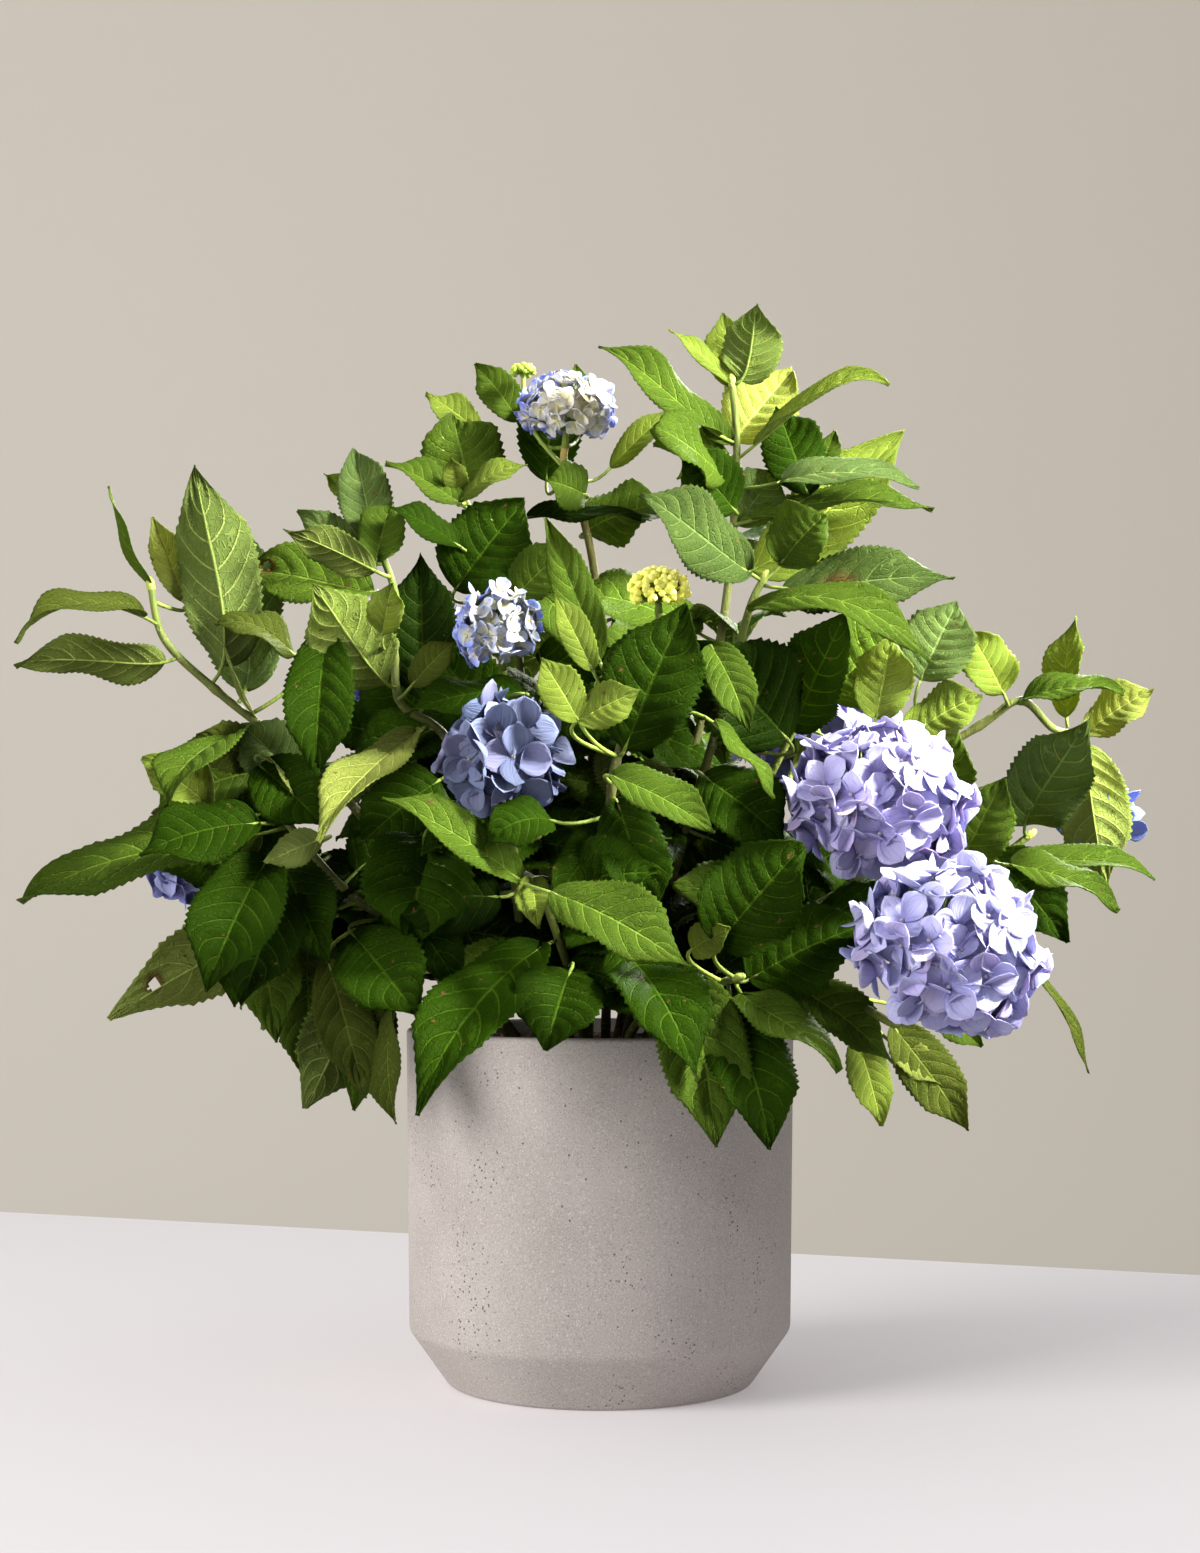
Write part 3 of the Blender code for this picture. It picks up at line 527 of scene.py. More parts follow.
def leaf_material(name, underside):
    """Quilted green with paler veins: a thin sheet that lets some light through."""
    g = Graph(name)
    tone = g.tone()
    vein, net_vein = leaf_veins(g, g.add("UVMap", uv_map="leaf").outputs["UV"])
    mottle = g.step(g.noise(38.0), 0.3, 0.7)
    if underside:
        base = g.mix(0.30, tone, (0.17, 0.23, 0.045))
        base = g.mix(g.times(mottle, 0.20), base, (0.20, 0.27, 0.07))
        base = g.mix(g.times(net_vein, 0.30), base, (0.24, 0.31, 0.08))
        colour = g.mix(g.times(vein, 0.65), base, (0.36, 0.43, 0.12))
    else:
        base = g.mix(g.times(mottle, 0.40), tone, (1.5, 1.35, 1.2), "MULTIPLY")
        paler = g.mix(1.0, tone, (2.4, 2.2, 2.6), "MULTIPLY")
        base = g.mix(g.times(net_vein, 0.36), base, paler)
        strong = g.mix(1.0, tone, (3.0, 2.6, 3.2), "MULTIPLY")
        colour = g.mix(g.times(vein, 0.75), base, g.mix(1.0, strong, (0.016, 0.024, 0.004), "ADD"))
    spots = g.times(g.step(g.noise(190.0, 1.0), 0.745, 0.765), 0.8)
    blemish = g.add("Attribute", attribute_name="blemish").outputs["Fac"]
    colour = g.mix(g.math("MAXIMUM", g.times(blemish, 0.9), spots), colour, (0.10, 0.050, 0.020))
    height = g.math("ADD", g.times(vein, 0.8), g.times(net_vein, 0.35))
    normal = g.bump(height, 0.0018, 1.0, not underside)
    shine = g.surface(colour, 0.70 if underside else 0.60, normal, 0.03)
    shine.inputs["Specular Tint"].default_value = (0.85, 1.0, 0.45, 1.0)
    return g.finish(g.thin(0.36, shine, g.mix(1.0, colour, (1.65, 1.40, 0.70), "MULTIPLY"), normal))


def petal_material(name):
    """Soft sepals, coloured by their own tone, with faint veins from heart to edge."""
    g = Graph(name)
    place = g.add("UVMap", uv_map="petal").outputs["UV"]
    streak = g.step(g.noise(1.6, 2.0, g.stretched(place, (9.0, 1.2, 1.0))), 0.35, 0.65)
    patch = g.step(g.noise(60.0, 2.0), 0.35, 0.7)
    colour = g.mix(g.times(streak, 0.35), g.tone(), (1.35, 1.32, 1.15), "MULTIPLY")
    colour = g.mix(g.times(patch, 0.30), colour, (1.25, 1.1, 1.1), "MULTIPLY")
    normal = g.bump(streak, 0.0004, 0.6)
    return g.finish(g.thin(0.22, g.surface(colour, 0.80, normal), colour, normal))


def stem_material(name):
    """Cane and petiole: green or woody by tone, with pale raised dots."""
    g = Graph(name)
    long = g.stretched(g.object_place(), (1.0, 1.0, 0.25))
    grain = g.step(g.noise(240.0, 3.0, long), 0.35, 0.65)
    dots = g.step(g.noise(330.0, 1.0), 0.62, 0.70)
    colour = g.mix(g.times(grain, 0.5), g.tone(), (1.6, 1.5, 1.3), "MULTIPLY")
    colour = g.mix(g.times(dots, 0.35), colour, (0.24, 0.20, 0.11))
    return g.finish(g.surface(colour, 0.62, g.bump(g.math("ADD", grain, dots), 0.0006, 0.6), 0.15))


def bark_material(name):
    """Wood chips and crumbs, each with its own tone and grain."""
    g = Graph(name)
    grain = g.step(g.noise(420.0, 4.0), 0.35, 0.65)
    colour = g.mix(g.times(grain, 0.7), g.tone(), (0.45, 0.42, 0.40), "MULTIPLY")
    return g.finish(g.surface(colour, 0.92, g.bump(grain, 0.0012, 0.8)))


def stone_material(name):
    """Cast stone: warm grey, finely speckled light and dark, with lone and crowded pits, painted dark with
    the shade inside them.
    """
    g = Graph(name)
    where = g.object_place()
    colour = g.mix(g.step(g.noise(9.0, 4.0), 0.3, 0.7), (0.318, 0.288, 0.267), (0.380, 0.347, 0.325))
    fine = g.noise(900.0, 2.0)
    colour = g.mix(g.times(g.step(fine, 0.55, 0.72), 0.50), colour, (0.60, 0.56, 0.52))
    colour = g.mix(g.times(g.step(fine, 0.45, 0.30), 0.50), colour, (0.16, 0.14, 0.13))
    wide = g.cells(where, 125.0)
    lone = g.times(g.step(wide["Distance"], 0.10, 0.06), g.step(wide["Color"], 0.56, 0.60))
    close = g.cells(where, 260.0)
    crowd = g.times(g.step(close["Distance"], 0.22, 0.12), g.step(g.noise(16.0, 2.0), 0.56, 0.66))
    pit_and_shade = g.math("MAXIMUM", lone, crowd)
    # The pits are darkened nearly to black: painted shade inside them.
    colour = g.mix(g.times(pit_and_shade, 0.78), colour, (0.050, 0.043, 0.038))
    height = g.math("SUBTRACT", g.times(fine, 0.25), pit_and_shade)
    return g.finish(g.surface(colour, 0.86, g.bump(height, 0.0016, 0.7), 0.30))


def plain_material(name, left, right, roughness):
    """For the table and the wall: nearly even, from one colour at the left to another at the right, a change
    that paints light and shade across them.
    """
    g = Graph(name)
    across = g.add("SeparateXYZ", {0: g.object_place()}).outputs[0]
    cloud = g.times(g.noise(1.5, 2.0), 0.1)
    share = g.math("ADD", g.math("MULTIPLY_ADD", across, 0.23, 0.45), cloud)
    return g.finish(g.surface(g.mix(share, left, right), roughness))


# ---------------------------------------------------------------- mesh gathering
class Gather:
    """Points and faces gathered for one piece, with a tone, a blemish and a UV for each point."""

    def __init__(self, uv_name):
        self.uv_name = uv_name
        self.points = []
        self.faces = []
        self.tones = []
        self.blemishes = []
        self.uvs = []

    def point(self, where, tone, uv=(0.5, 0.5), blemish=0.0):
        self.points.append(tuple(where))
        self.tones.append((*tone, 1.0))
        self.uvs.append(uv)
        self.blemishes.append(blemish)
        return len(self.points) - 1

    def skin(self, rings):
        """Faces along a row of rings, and one over each end."""
        for low, high in zip(rings, rings[1:]):
            for k in range(len(low)):
                after = (k + 1) % len(low)
                self.faces.append((low[k], low[after], high[after], high[k]))
        self.faces.append(tuple(reversed(rings[0])))
        self.faces.append(tuple(rings[-1]))

    def grid(self, first, rows, columns, gone=()):
        """Faces over rows and columns of cells, apart from those gone. Their points start at first."""
        across = columns + 1
        for r in range(rows):
            for c in range(columns):
                if (r, c) not in gone:
                    i = first + r * across + c
                    self.faces.append((i, i + 1, i + across + 1, i + across))

    def make(self, name, materials):
        mesh = bpy.data.meshes.new(name)
        mesh.from_pydata(self.points, [], self.faces)
        tone = mesh.attributes.new("tone", "FLOAT_COLOR", "POINT")
        tone.data.foreach_set("color", [c for row in self.tones for c in row])
        blemish = mesh.attributes.new("blemish", "FLOAT", "POINT")
        blemish.data.foreach_set("value", self.blemishes)
        layer = mesh.uv_layers.new(name=self.uv_name)
        layer.data.foreach_set("uv", [c for loop in mesh.loops for c in self.uvs[loop.vertex_index]])
        mesh.shade_smooth()
        made = bpy.data.objects.new(name, mesh)
        for material in materials:
            made.data.materials.append(material)
        bpy.context.scene.collection.objects.link(made)
        return made


def blend(a, b, share):
    return tuple(x + (y - x) * share for x, y in zip(a, b))


def scaled(tone, factor):
    return tuple(c * factor for c in tone)


def add_tube(gather, line, radii, tones, sides=8):
    """A closed tube along a line of points."""
    rings = []
    side = Vector((0.3, 0.9, 0.2))
    for i, here in enumerate(line):
        way = (line[min(i + 1, len(line) - 1)] - line[max(i - 1, 0)]).normalized()
        side = (side - way * side.dot(way)).normalized()
        other = way.cross(side)
        ring = []
        for k in range(sides):
            turn = math.tau * k / sides
            spoke = side * math.cos(turn) + other * math.sin(turn)
            ring.append(gather.point(here + spoke * radii[i], tones[i]))
        rings.append(ring)
    gather.skin(rings)


def add_ball(gather, middle, radius, tone, squash=1.0, way=Vector((0.0, 0.0, 1.0))):
    """A small closed bud, six sided."""
    turn = way.to_track_quat("Z", "Y")
    sides = 6
    rings = []
    for polar in (0.5, 1.2, 1.95, 2.65):
        ring = []
        for k in range(sides):
            angle = math.tau * k / sides
            spot = Vector((math.sin(polar) * math.cos(angle), math.sin(polar) * math.sin(angle), 0.0))
            spot.z = math.cos(polar) * squash
            ring.append(gather.point(middle + turn @ (spot * radius), tone))
        rings.append(ring)
    pole = turn @ Vector((0.0, 0.0, radius * squash))
    top = gather.point(middle + pole, tone)
    bottom = gather.point(middle - pole, tone)
    for k in range(sides):
        after = (k + 1) % sides
        gather.faces.append((top, rings[0][k], rings[0][after]))
        for upper, lower in zip(rings, rings[1:]):
            gather.faces.append((upper[k], lower[k], lower[after], upper[after]))
        gather.faces.append((bottom, rings[-1][after], rings[-1][k]))


# ---------------------------------------------------------------- canes
def head_stalk(name):
    """The last two points of the cane that carries this head."""
    middle, half, facing = HEADS[name][1:4]
    way = Vector(facing).normalized()
    under = Vector(middle) - way * half[2]
    return [under - way * STRAIGHT_END, under]


def cane_points(name):
    points = [Vector(p) for p in CANES[name]]
    points.insert(1, points[0] + Vector((0.0, 0.0, UPRIGHT_START)))
    for head, row in HEADS.items():
        if row[0] == name:
            points += head_stalk(head)
    return points


def smooth_line(points, steps):
    """A rounded line through the points."""
    line = []
    for i in range(len(points) - 1):
        a = points[max(i - 1, 0)]
        b, c = points[i], points[i + 1]
        d = points[min(i + 2, len(points) - 1)]
        for k in range(steps):
            t = k / steps
            bend = (a * 2 - b * 5 + c * 4 - d) * t * t
            turn = (b * 3 - a - c * 3 + d) * t**3
            line.append(0.5 * (b * 2 + (c - a) * t + bend + turn))
    line.append(points[-1])
    return line


def cane_line(name):
    return smooth_line(cane_points(name), CANE_STEPS)


def cane_radius(grown):
    return CANE_RADIUS + (SHOOT_RADIUS - CANE_RADIUS) * grown


def add_cane(gather, name):
    """Woody at the soil and green at the top, swelling at each pair of leaves."""
    line = cane_line(name)
    ripe = TAN_STEM if name == "white_head" else SHOOT_GREEN
    radii = []
    tones = []
    for i in range(len(line)):
        grown = i / (len(line) - 1)
        has_nodes = CANE_STEPS < i < len(line) - 12
        swell = max(0.0, 1.0 - (i % CANE_STEPS) / 1.4) if has_nodes else 0.0
        radii.append(CANE_SLIMMING * cane_radius(grown) * (1.0 + 0.24 * swell))
        tone = blend(WOOD, GREEN_WOOD, min(1.0, grown * 2.4))
        tones.append(blend(tone, ripe, max(0.0, grown * 1.9 - 0.9)))
    add_tube(gather, line, radii, tones, 12)


def along_cane(name, where):
    """(point, direction, radius) at a place counted in points along the cane."""
    points = cane_points(name)[1:]
    i = min(int(where), len(points) - 2)
    share = where - i
    way = (points[i + 1] - points[i]).normalized()
    return points[i].lerp(points[i + 1], share), way, cane_radius((i + share) / (len(points) - 1))


# ---------------------------------------------------------------- leaves
def bezier(points, t):
    a, b, c, d = points
    u = 1.0 - t
    here = a * u**3 + b * 3 * u * u * t + c * 3 * u * t * t + d * t**3
    way = (b - a) * 3 * u * u + (c - b) * 6 * u * t + (d - c) * 3 * t * t
    return here, way.normalized()


def large_leaf_line(row):
    """The midrib of a large leaf, as in the CAD."""
    cane, where, tip = row[:3]
    facing, arch = row[4:6]
    root, way, radius = along_cane(cane, where)
    tip = Vector(tip)
    out = tip - root
    out -= way * out.dot(way)
    out.normalize()
    start = root + out * radius * 0.8
    chord = tip - start
    lift = Vector(facing).normalized() * arch * ARCH_LIFT
    return [start, start + out * chord.length * 0.22 + lift * 0.5, start + chord * 0.68 + lift, tip]


def small_leaf_line(base, tip, facing, arch):
    base = Vector(base)
    tip = Vector(tip)
    chord = tip - base
    lift = Vector(facing).normalized() * arch * ARCH_LIFT
    return [base, base + chord * 0.30 + lift, base + chord * 0.68 + lift, tip]


def outline(t):
    """How wide a blade is at t of its length, against its full width: broad, with a drawn-out tip."""
    body = (t**0.62 * (1.0 - t) ** 0.72) / (0.46**0.62 * 0.54**0.72)
    drawn = max(0.0, (t - 0.70) / 0.30)
    return body * (1.0 - 0.64 * drawn**0.8)


def leaf_frame(line, t, facing):
    """(point, side, up) at t along a leaf's midrib."""
    here, way = bezier(line, t)
    side = way.cross(facing).normalized()
    return here, side, side.cross(way).normalized()


def add_blade(gather, line, width, facing, tone, start, seed, holes, columns):
    """A toothed, quilted blade on both sides of a midrib."""
    rng = random.Random(seed)
    length = (line[3] - line[0]).length
    rows = max(9, min(27, round(length / TOOTH_PITCH))) * ROWS_PER_TOOTH
    fold = rng.uniform(0.14, 0.62)
    wave = rng.uniform(0.04, 0.13) * width
    twist = rng.uniform(-0.55, 0.55)
    wave_turn = rng.uniform(0.0, math.tau)
    tint = scaled(tone, rng.uniform(0.86, 1.14))
    first = len(gather.points)
    gone = set()
    for r in range(rows + 1):
        t = r / rows
        here, side, up = leaf_frame(line, start + (1.0 - start) * t, facing)
        lean = twist * (t - 0.3)
        side, up = side * math.cos(lean) + up * math.sin(lean), up * math.cos(lean) - side * math.sin(lean)
        half = max(width * 0.5 * outline(max(t, 0.0001)), 0.0010)
        tooth = (r % ROWS_PER_TOOTH) / ROWS_PER_TOOTH
        bite = (0.115 * tooth - 0.045) * min(1.0, 5.0 * t) * min(1.0, 5.0 * (1.0 - t))
        for c in range(columns + 1):
            u = c / columns * 2.0 - 1.0
            far = abs(u)
            reach = half * u * (1.0 + (bite if far > 0.99 else 0.0))
            phase = t * LEAF_VEINS - far * (VEIN_RISE + VEIN_CURVE * far)
            puff = abs(math.sin(math.pi * phase)) ** 0.7 - 0.5
            rise = fold * abs(reach) - 0.9 * fold * reach * reach / max(width, 0.001)
            rise += QUILT * width * puff * min(1.0, far * 5.0) * (1.0 - far**5) * min(1.0, 5.0 * t)
            rise += wave * far**2 * math.sin(wave_turn + (11.0 if u > 0 else 9.0) * t)
            hurt = 0.0
            for place_across, place_along, radius in holes:
                off_along = (t - place_along) * length * (1.0 - start)
                off = math.hypot(reach - place_across * half, off_along)
                hurt = max(hurt, min(1.0, max(0.0, 2.2 - off / radius)))
                if off < radius:
                    gone.add((r, c))
            shade = blend(tint, scaled(tint, 0.8), far)
            gather.point(here + side * reach + up * rise, shade, (u * 0.5 + 0.5, t), hurt)
    gather.grid(first, rows, columns, gone)


def add_midrib(gather, line, width, facing, tone, start):
    """The stalk of a leaf, and its rib under the blade."""
    steps = 14
    size = min(PETIOLE_RADIUS, 0.0005 + width * 0.028)
    points = []
    radii = []
    for k in range(steps + 1):
        t = k / steps * (start + (1.0 - start) * 0.86)
        here, _, up = leaf_frame(line, t, facing)
        in_blade = min(1.0, max(0.0, (t - start * 0.8) / 0.10))
        radius = size * (1.0 - 0.72 * max(0.0, t - start))
        points.append(here - up * radius * 0.75 * in_blade)
        radii.append(radius * (1.0 - 0.35 * in_blade))
    add_tube(gather, points, radii, [blend(GREEN_STEM, tone, 0.35)] * len(points), 6)


def add_leaf(blades, stems, line, width, facing, tone, start, seed, holes=(), columns=LEAF_COLUMNS):
    """A blade that starts at this share of the line, and its midrib."""
    facing = Vector(facing).normalized()
    add_blade(blades, line, width, facing, tone, start, seed, holes, columns)
    add_midrib(stems, line, width, facing, tone, start)


def nearest_on_canes(spot, lines):
    """(cane, point on it) nearest to a spot and below it for choice, so that a stalk rises to its leaf."""
    best = None
    for name, line in lines.items():
        for here in line[8:]:
            cost = (here - spot).length + 0.6 * max(0.0, here.z - spot.z)
            if best is None or cost < best[0]:
                best = (cost, name, here)
    return best[1:]


def add_stalk(gather, root, base, chord, tone):
    """A leaf stalk from the cane to where the blade starts."""
    reach = (base - root).length
    if reach < 0.002:
        return
    steps = 8
    bend = base - chord.normalized() * reach * 0.45
    line = []
    radii = []
    for k in range(steps + 1):
        t = k / steps
        line.append(root * (1 - t) ** 2 + bend * 2 * t * (1 - t) + base * t * t)
        radii.append(PETIOLE_RADIUS * (1.15 - 0.3 * k / steps))
    add_tube(gather, line, radii, [blend(GREEN_STEM, tone, 0.35)] * len(line), 7)


def inside_outline(spot):
    for top, left, right in OUTLINE:
        if spot.z < top:
            return left < spot.x < right
    return False


def hides_a_piece(spot):
    """True if this spot is in front of a flower head or of another thing that shows."""
    for row in HEADS.values():
        middle, half = row[1:3]
        near = ((spot.x - middle[0]) / half[0]) ** 2 + ((spot.z - middle[2]) / half[2]) ** 2
        if near < 1.7 and spot.y < middle[1] + half[1]:
            return True
    return any(spot.y < y and math.hypot(spot.x - x, spot.z - z) < radius for x, z, radius, y in CLEAR)


def hides_a_back_head(ends):
    """True if a leaf with these ends comes within reach of a flower head on the far side."""
    for row in HEADS.values():
        middle, half = row[1:3]
        if middle[1] > 0.15 and any((Vector(end) - Vector(middle)).length < half[0] * 1.25 for end in ends):
            return True
    return False


def filling_leaf(rng, root, out, length, drop):
    """(base, tip) of a leaf that grows from root towards out, or None where there is no room for one."""
    base = root + out * rng.uniform(0.014, 0.026) + Vector((0.0, 0.0, 0.006))
    tip = base + out * length + Vector((0.0, 0.0, drop))
    if not (inside_outline(tip) and inside_outline(base)) or tip.z < 0.268:
        return None
    if any(hides_a_piece(base.lerp(tip, share)) for share in (0.0, 0.35, 0.7, 1.0)):
        return None
    return tuple(base), tuple(tip)


def filling_leaves():
    """Leaves in crossed pairs up each cane, where the plant is seen less: inside it and all over its back."""
    rng = random.Random(7)
    made = []
    for name in CANES:
        line = cane_line(name)
        turn = rng.uniform(0.0, math.tau)
        for i in range(13, len(line) - 5, 5):
            way = (line[i + 1] - line[i]).normalized()
            turn += math.pi / 2
            for angle in (turn, turn + math.pi):
                flat = Vector((math.cos(angle), math.sin(angle), 0.0))
                out = (flat - way * flat.dot(way) * 0.6).normalized()
                length = rng.uniform(0.080, 0.130)
                ends = filling_leaf(rng, line[i], out, length, rng.uniform(-0.055, 0.020))
                if ends is None or not -0.085 < ends[1][1] < 0.262:
                    continue
                front = ends[1][1] < 0.07
                # Front leaves low down are given darker tones, which paint shade on them.
                shaded = front and ends[0][2] < 0.5
                tone = rng.choice(["deep", "dark", "dark"] if shaded else ["dark", "mid", "mid", "grey"])
                look = (out.x * 0.3, out.y * 0.3 - 0.6, 0.7) if front else (out.x * 0.4, out.y * 0.4, 0.9)
                made.append((*ends, length * rng.uniform(0.50, 0.62), look, 0.016, tone))
    return made


def draping_leaves(seed, side):
    """Leaves that hang to the front (side -1) or the back (side 1) between the others, given darker tones low
    down and at the back, which paint shade on them.
    """
    rng = random.Random(seed)
    made = []
    for name in CANES:
        line = cane_line(name)
        for i in range(14, len(line) - 4, 6):
            for angle in (rng.uniform(1.9, 2.9), rng.uniform(0.2, 1.2)):
                out = Vector((math.cos(angle), side * math.sin(angle) * 0.7, 0.0)).normalized()
                length = rng.uniform(0.075, 0.115)
                ends = filling_leaf(rng, line[i], out, length, rng.uniform(-0.075, 0.025))
                if ends is None or ends[0][1] < -0.085 or not -0.15 < ends[1][1] < 0.255:
                    continue
                if side > 0 and (ends[0][1] < 0.03 or hides_a_back_head(ends)):
                    continue
                # Low leaves, and all those at the back, get darker tones: painted shade.
                low = ends[1][2] < 0.47 or side > 0
                tones = ["deep", "dark", "dark", "mid"] if low else ["dark", "mid", "mid", "bright"]
                tone = rng.choice(tones)
                look = (out.x * 0.25, side * 0.85, rng.uniform(0.3, 0.7))
                made.append((*ends, length * rng.uniform(0.52, 0.64), look, 0.010, tone))
    return made


def add_leaves(leaf_upper, leaf_under, stem):
    """Every leaf, gathered with the others of its cane, and every cane with its leaf stalks."""
    lines = {name: cane_line(name) for name in CANES}
    blades = {name: Gather("leaf") for name in CANES}
    stems = {name: Gather("stem") for name in CANES}
    stands_for = {name: [] for name in CANES}
    for name in CANES:
        add_cane(stems[name], name)
    for seed, (name, row) in enumerate(LARGE_LEAVES.items()):
        cane = row[0]
        width, facing = row[3:5]
        line = large_leaf_line(row)
        holes = HOLES.get(name, ())
        add_leaf(blades[cane], stems[cane], line, width, facing, TONES[row[6]], PETIOLE_SHARE, seed, holes)
        stands_for[cane].append("leaf_" + name)
    filling = filling_leaves() + draping_leaves(11, -1) + draping_leaves(13, 1)
    for number, (base, tip, width, look, arch, tone) in enumerate(SMALL_LEAVES + filling):
        facing = LOOKS.get(look, look)
        tone = TONES[tone]
        line = small_leaf_line(base, tip, facing, arch)
        cane, root = nearest_on_canes(line[0], lines)
        columns = FILLING_COLUMNS
        if number < len(SMALL_LEAVES):
            width *= SMALL_LEAF_SPREAD
            columns = LEAF_COLUMNS
        add_leaf(blades[cane], stems[cane], line, width, facing, tone, 0.0, 100 + number, (), columns)
        add_stalk(stems[cane], root, line[0], line[1] - line[0], tone)
    headed = [row[0] for row in HEADS.values()]
    for name in CANES:
        if name not in headed:
            end = lines[name][-1]
            way = (end - lines[name][-3]).normalized()
            add_ball(stems[name], end + way * 0.002, 0.0034, TONES["yellow"], 2.0, way)
        made = stems[name].make("stem_" + name, [stem])
        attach(made, "root")
        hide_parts("cane_" + name)
        if not blades[name].points:
            continue
        leaves = blades[name].make("leaves_" + name, [leaf_upper, leaf_under])
        sheet = leaves.modifiers.new("thickness", "SOLIDIFY")
        sheet.thickness = LEAF_THICKNESS
        sheet.offset = -1.0
        sheet.material_offset = 1
        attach(leaves, "root")
        if stands_for[name]:
            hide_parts(*stands_for[name])


# ---------------------------------------------------------------- flower heads
def sepal_width(s):
    """How wide a sepal is at s of its length: broadest at the middle, and a little pointed."""
    if s < 0.5:
        return 0.22 + 0.78 * math.sin(math.pi / 2 * s / 0.5)
    return max(0.0, 1.0 - ((s - 0.5) / 0.5) ** 1.8) ** 0.68 * 0.97 + 0.03


def add_floret(gather, name, middle, way, reach, outer, rng):
    """Four broad sepals, from the colour of the head's hearts to the outer one."""
    heart = HEAD_COLOURS[name][2]
    heart_size = 0.70 if name in PALE_FRONTS else 0.50
    spin = rng.uniform(0.0, 1.57)
    frame = way.to_track_quat("Z", "Y").to_matrix() @ Matrix.Rotation(spin, 3, "Z")
    rows = 6
    columns = 6
    for k in range(4):
        turn = Matrix.Rotation(math.tau * k / 4 + rng.uniform(-0.10, 0.10), 3, "Z")
        size = reach * rng.uniform(0.88, 1.10)
        cup = rng.uniform(-0.28, 0.66)
        dish = rng.uniform(-0.04, 0.40)
        level = 0.05 * size * (k % 2)
        blush = PINK_BLUSH if rng.random() < 0.25 else PALE_BLUSH
        shade = scaled(outer, rng.uniform(0.60, 1.20))
        shade = blend(shade, blush, rng.uniform(0.0, BLEACHED.get(name, 0.10)))
        first = len(gather.points)
        for r in range(rows + 1):
            s = r / rows
            out = size * (0.04 + 0.96 * s)
            half = size * 0.52 * sepal_width(s)
            tone = blend(heart, shade, min(1.0, max(0.0, (s - 0.08) / heart_size)))
            for c in range(columns + 1):
                u = c / columns * 2.0 - 1.0
                rise = level + size * (cup * s * s + dish * u * u * math.sin(math.pi * s))
                spot = frame @ (turn @ Vector((half * u, out, rise)))
                gather.point(middle + spot, tone, (u * 0.5 + 0.5, s))
        gather.grid(first, rows, columns)


def floret_places(name, rng):
    """Where each floret of a head sits, the way it faces, and its colour."""
    middle, half, facing, count, reach = HEADS[name][1:]
    inner, edge = HEAD_COLOURS[name][:2]
    turn = Vector((0.0, 0.0, 1.0)).rotation_difference(Vector(facing).normalized())
    for i in range(count):
        level = 1.0 - (i + 0.5) / count * DOME_DEPTH
        angle = i * math.pi * (3.0 - math.sqrt(5.0)) + rng.uniform(-0.15, 0.15)
        ring = math.sqrt(max(0.0, 1.0 - level * level))
        spot = Vector((ring * math.cos(angle), ring * math.sin(angle), level))
        shrink = 0.93 - 0.28 * reach / half[0] + rng.uniform(-0.14, 0.06)
        place = Vector((spot.x * half[0], spot.y * half[1], spot.z * half[2])) * shrink
        out = Vector((spot.x / half[0], spot.y / half[1], spot.z / half[2])).normalized()
        lean = Vector((rng.uniform(-1, 1), rng.uniform(-1, 1), rng.uniform(-1, 1))) * FLORET_LEAN
        blue = 0.5 - 0.62 * level
        if name in PALE_FRONTS:
            blue = 1.22 - 1.35 * (turn @ spot).dot(PALE_SIDE)
        share = min(1.0, max(0.0, blue + rng.uniform(-0.18, 0.18)))
        yield Vector(middle) + turn @ place, turn @ (out + lean).normalized(), blend(inner, edge, share)


def add_head(name, petal, stem):
    """A dome of florets on fine branching stalks."""
    count, reach = HEADS[name][4:]
    middle = Vector(HEADS[name][1])
    bead = blend(HEAD_COLOURS[name][2], (0.5, 0.42, 0.2), 0.4)
    rng = random.Random(len(name) * 31 + count)
    petals = Gather("petal")
    branches = Gather("stem")
    under = head_stalk(name)[1]
    hub = under + (middle - under) * 0.45
    fine = 0.0007 if reach > 0.01 else 0.0005
    for here, way, tone in floret_places(name, rng):
        if name == "green":
            add_ball(petals, here, reach * rng.uniform(0.8, 1.15), tone, 0.9, way)
        else:
            add_floret(petals, name, here, way, reach * rng.uniform(0.84, 1.12), tone, rng)
            add_ball(petals, here + way * reach * 0.05, reach * 0.085, bead, 1.0, way)
        knee = hub.lerp(here, 0.55) - way * reach * 0.10
        line = [hub, hub.lerp(knee, 0.6), knee, here]
        add_tube(branches, line, [fine * 1.5, fine * 1.3, fine, fine], [GREEN_STEM] * 4, 5)
    stub = [under - Vector((0, 0, 0.001)), under.lerp(middle, 0.5)]
    add_tube(branches, stub, [0.003, 0.0022], [GREEN_STEM] * 2, 8)
    flowers = petals.make("flowers_" + name, [petal])
    if name != "green":
        sheet = flowers.modifiers.new("thickness", "SOLIDIFY")
        sheet.thickness = SEPAL_THICKNESS
        sheet.offset = 0.0
    stalks = branches.make("flower_stalks_" + name, [stem])
    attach(flowers, "root")
    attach(stalks, "root")
    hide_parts("head_" + name)
    {"white": "cream_petal", "green": "lime_petal"}.get(name, "blue_petal")


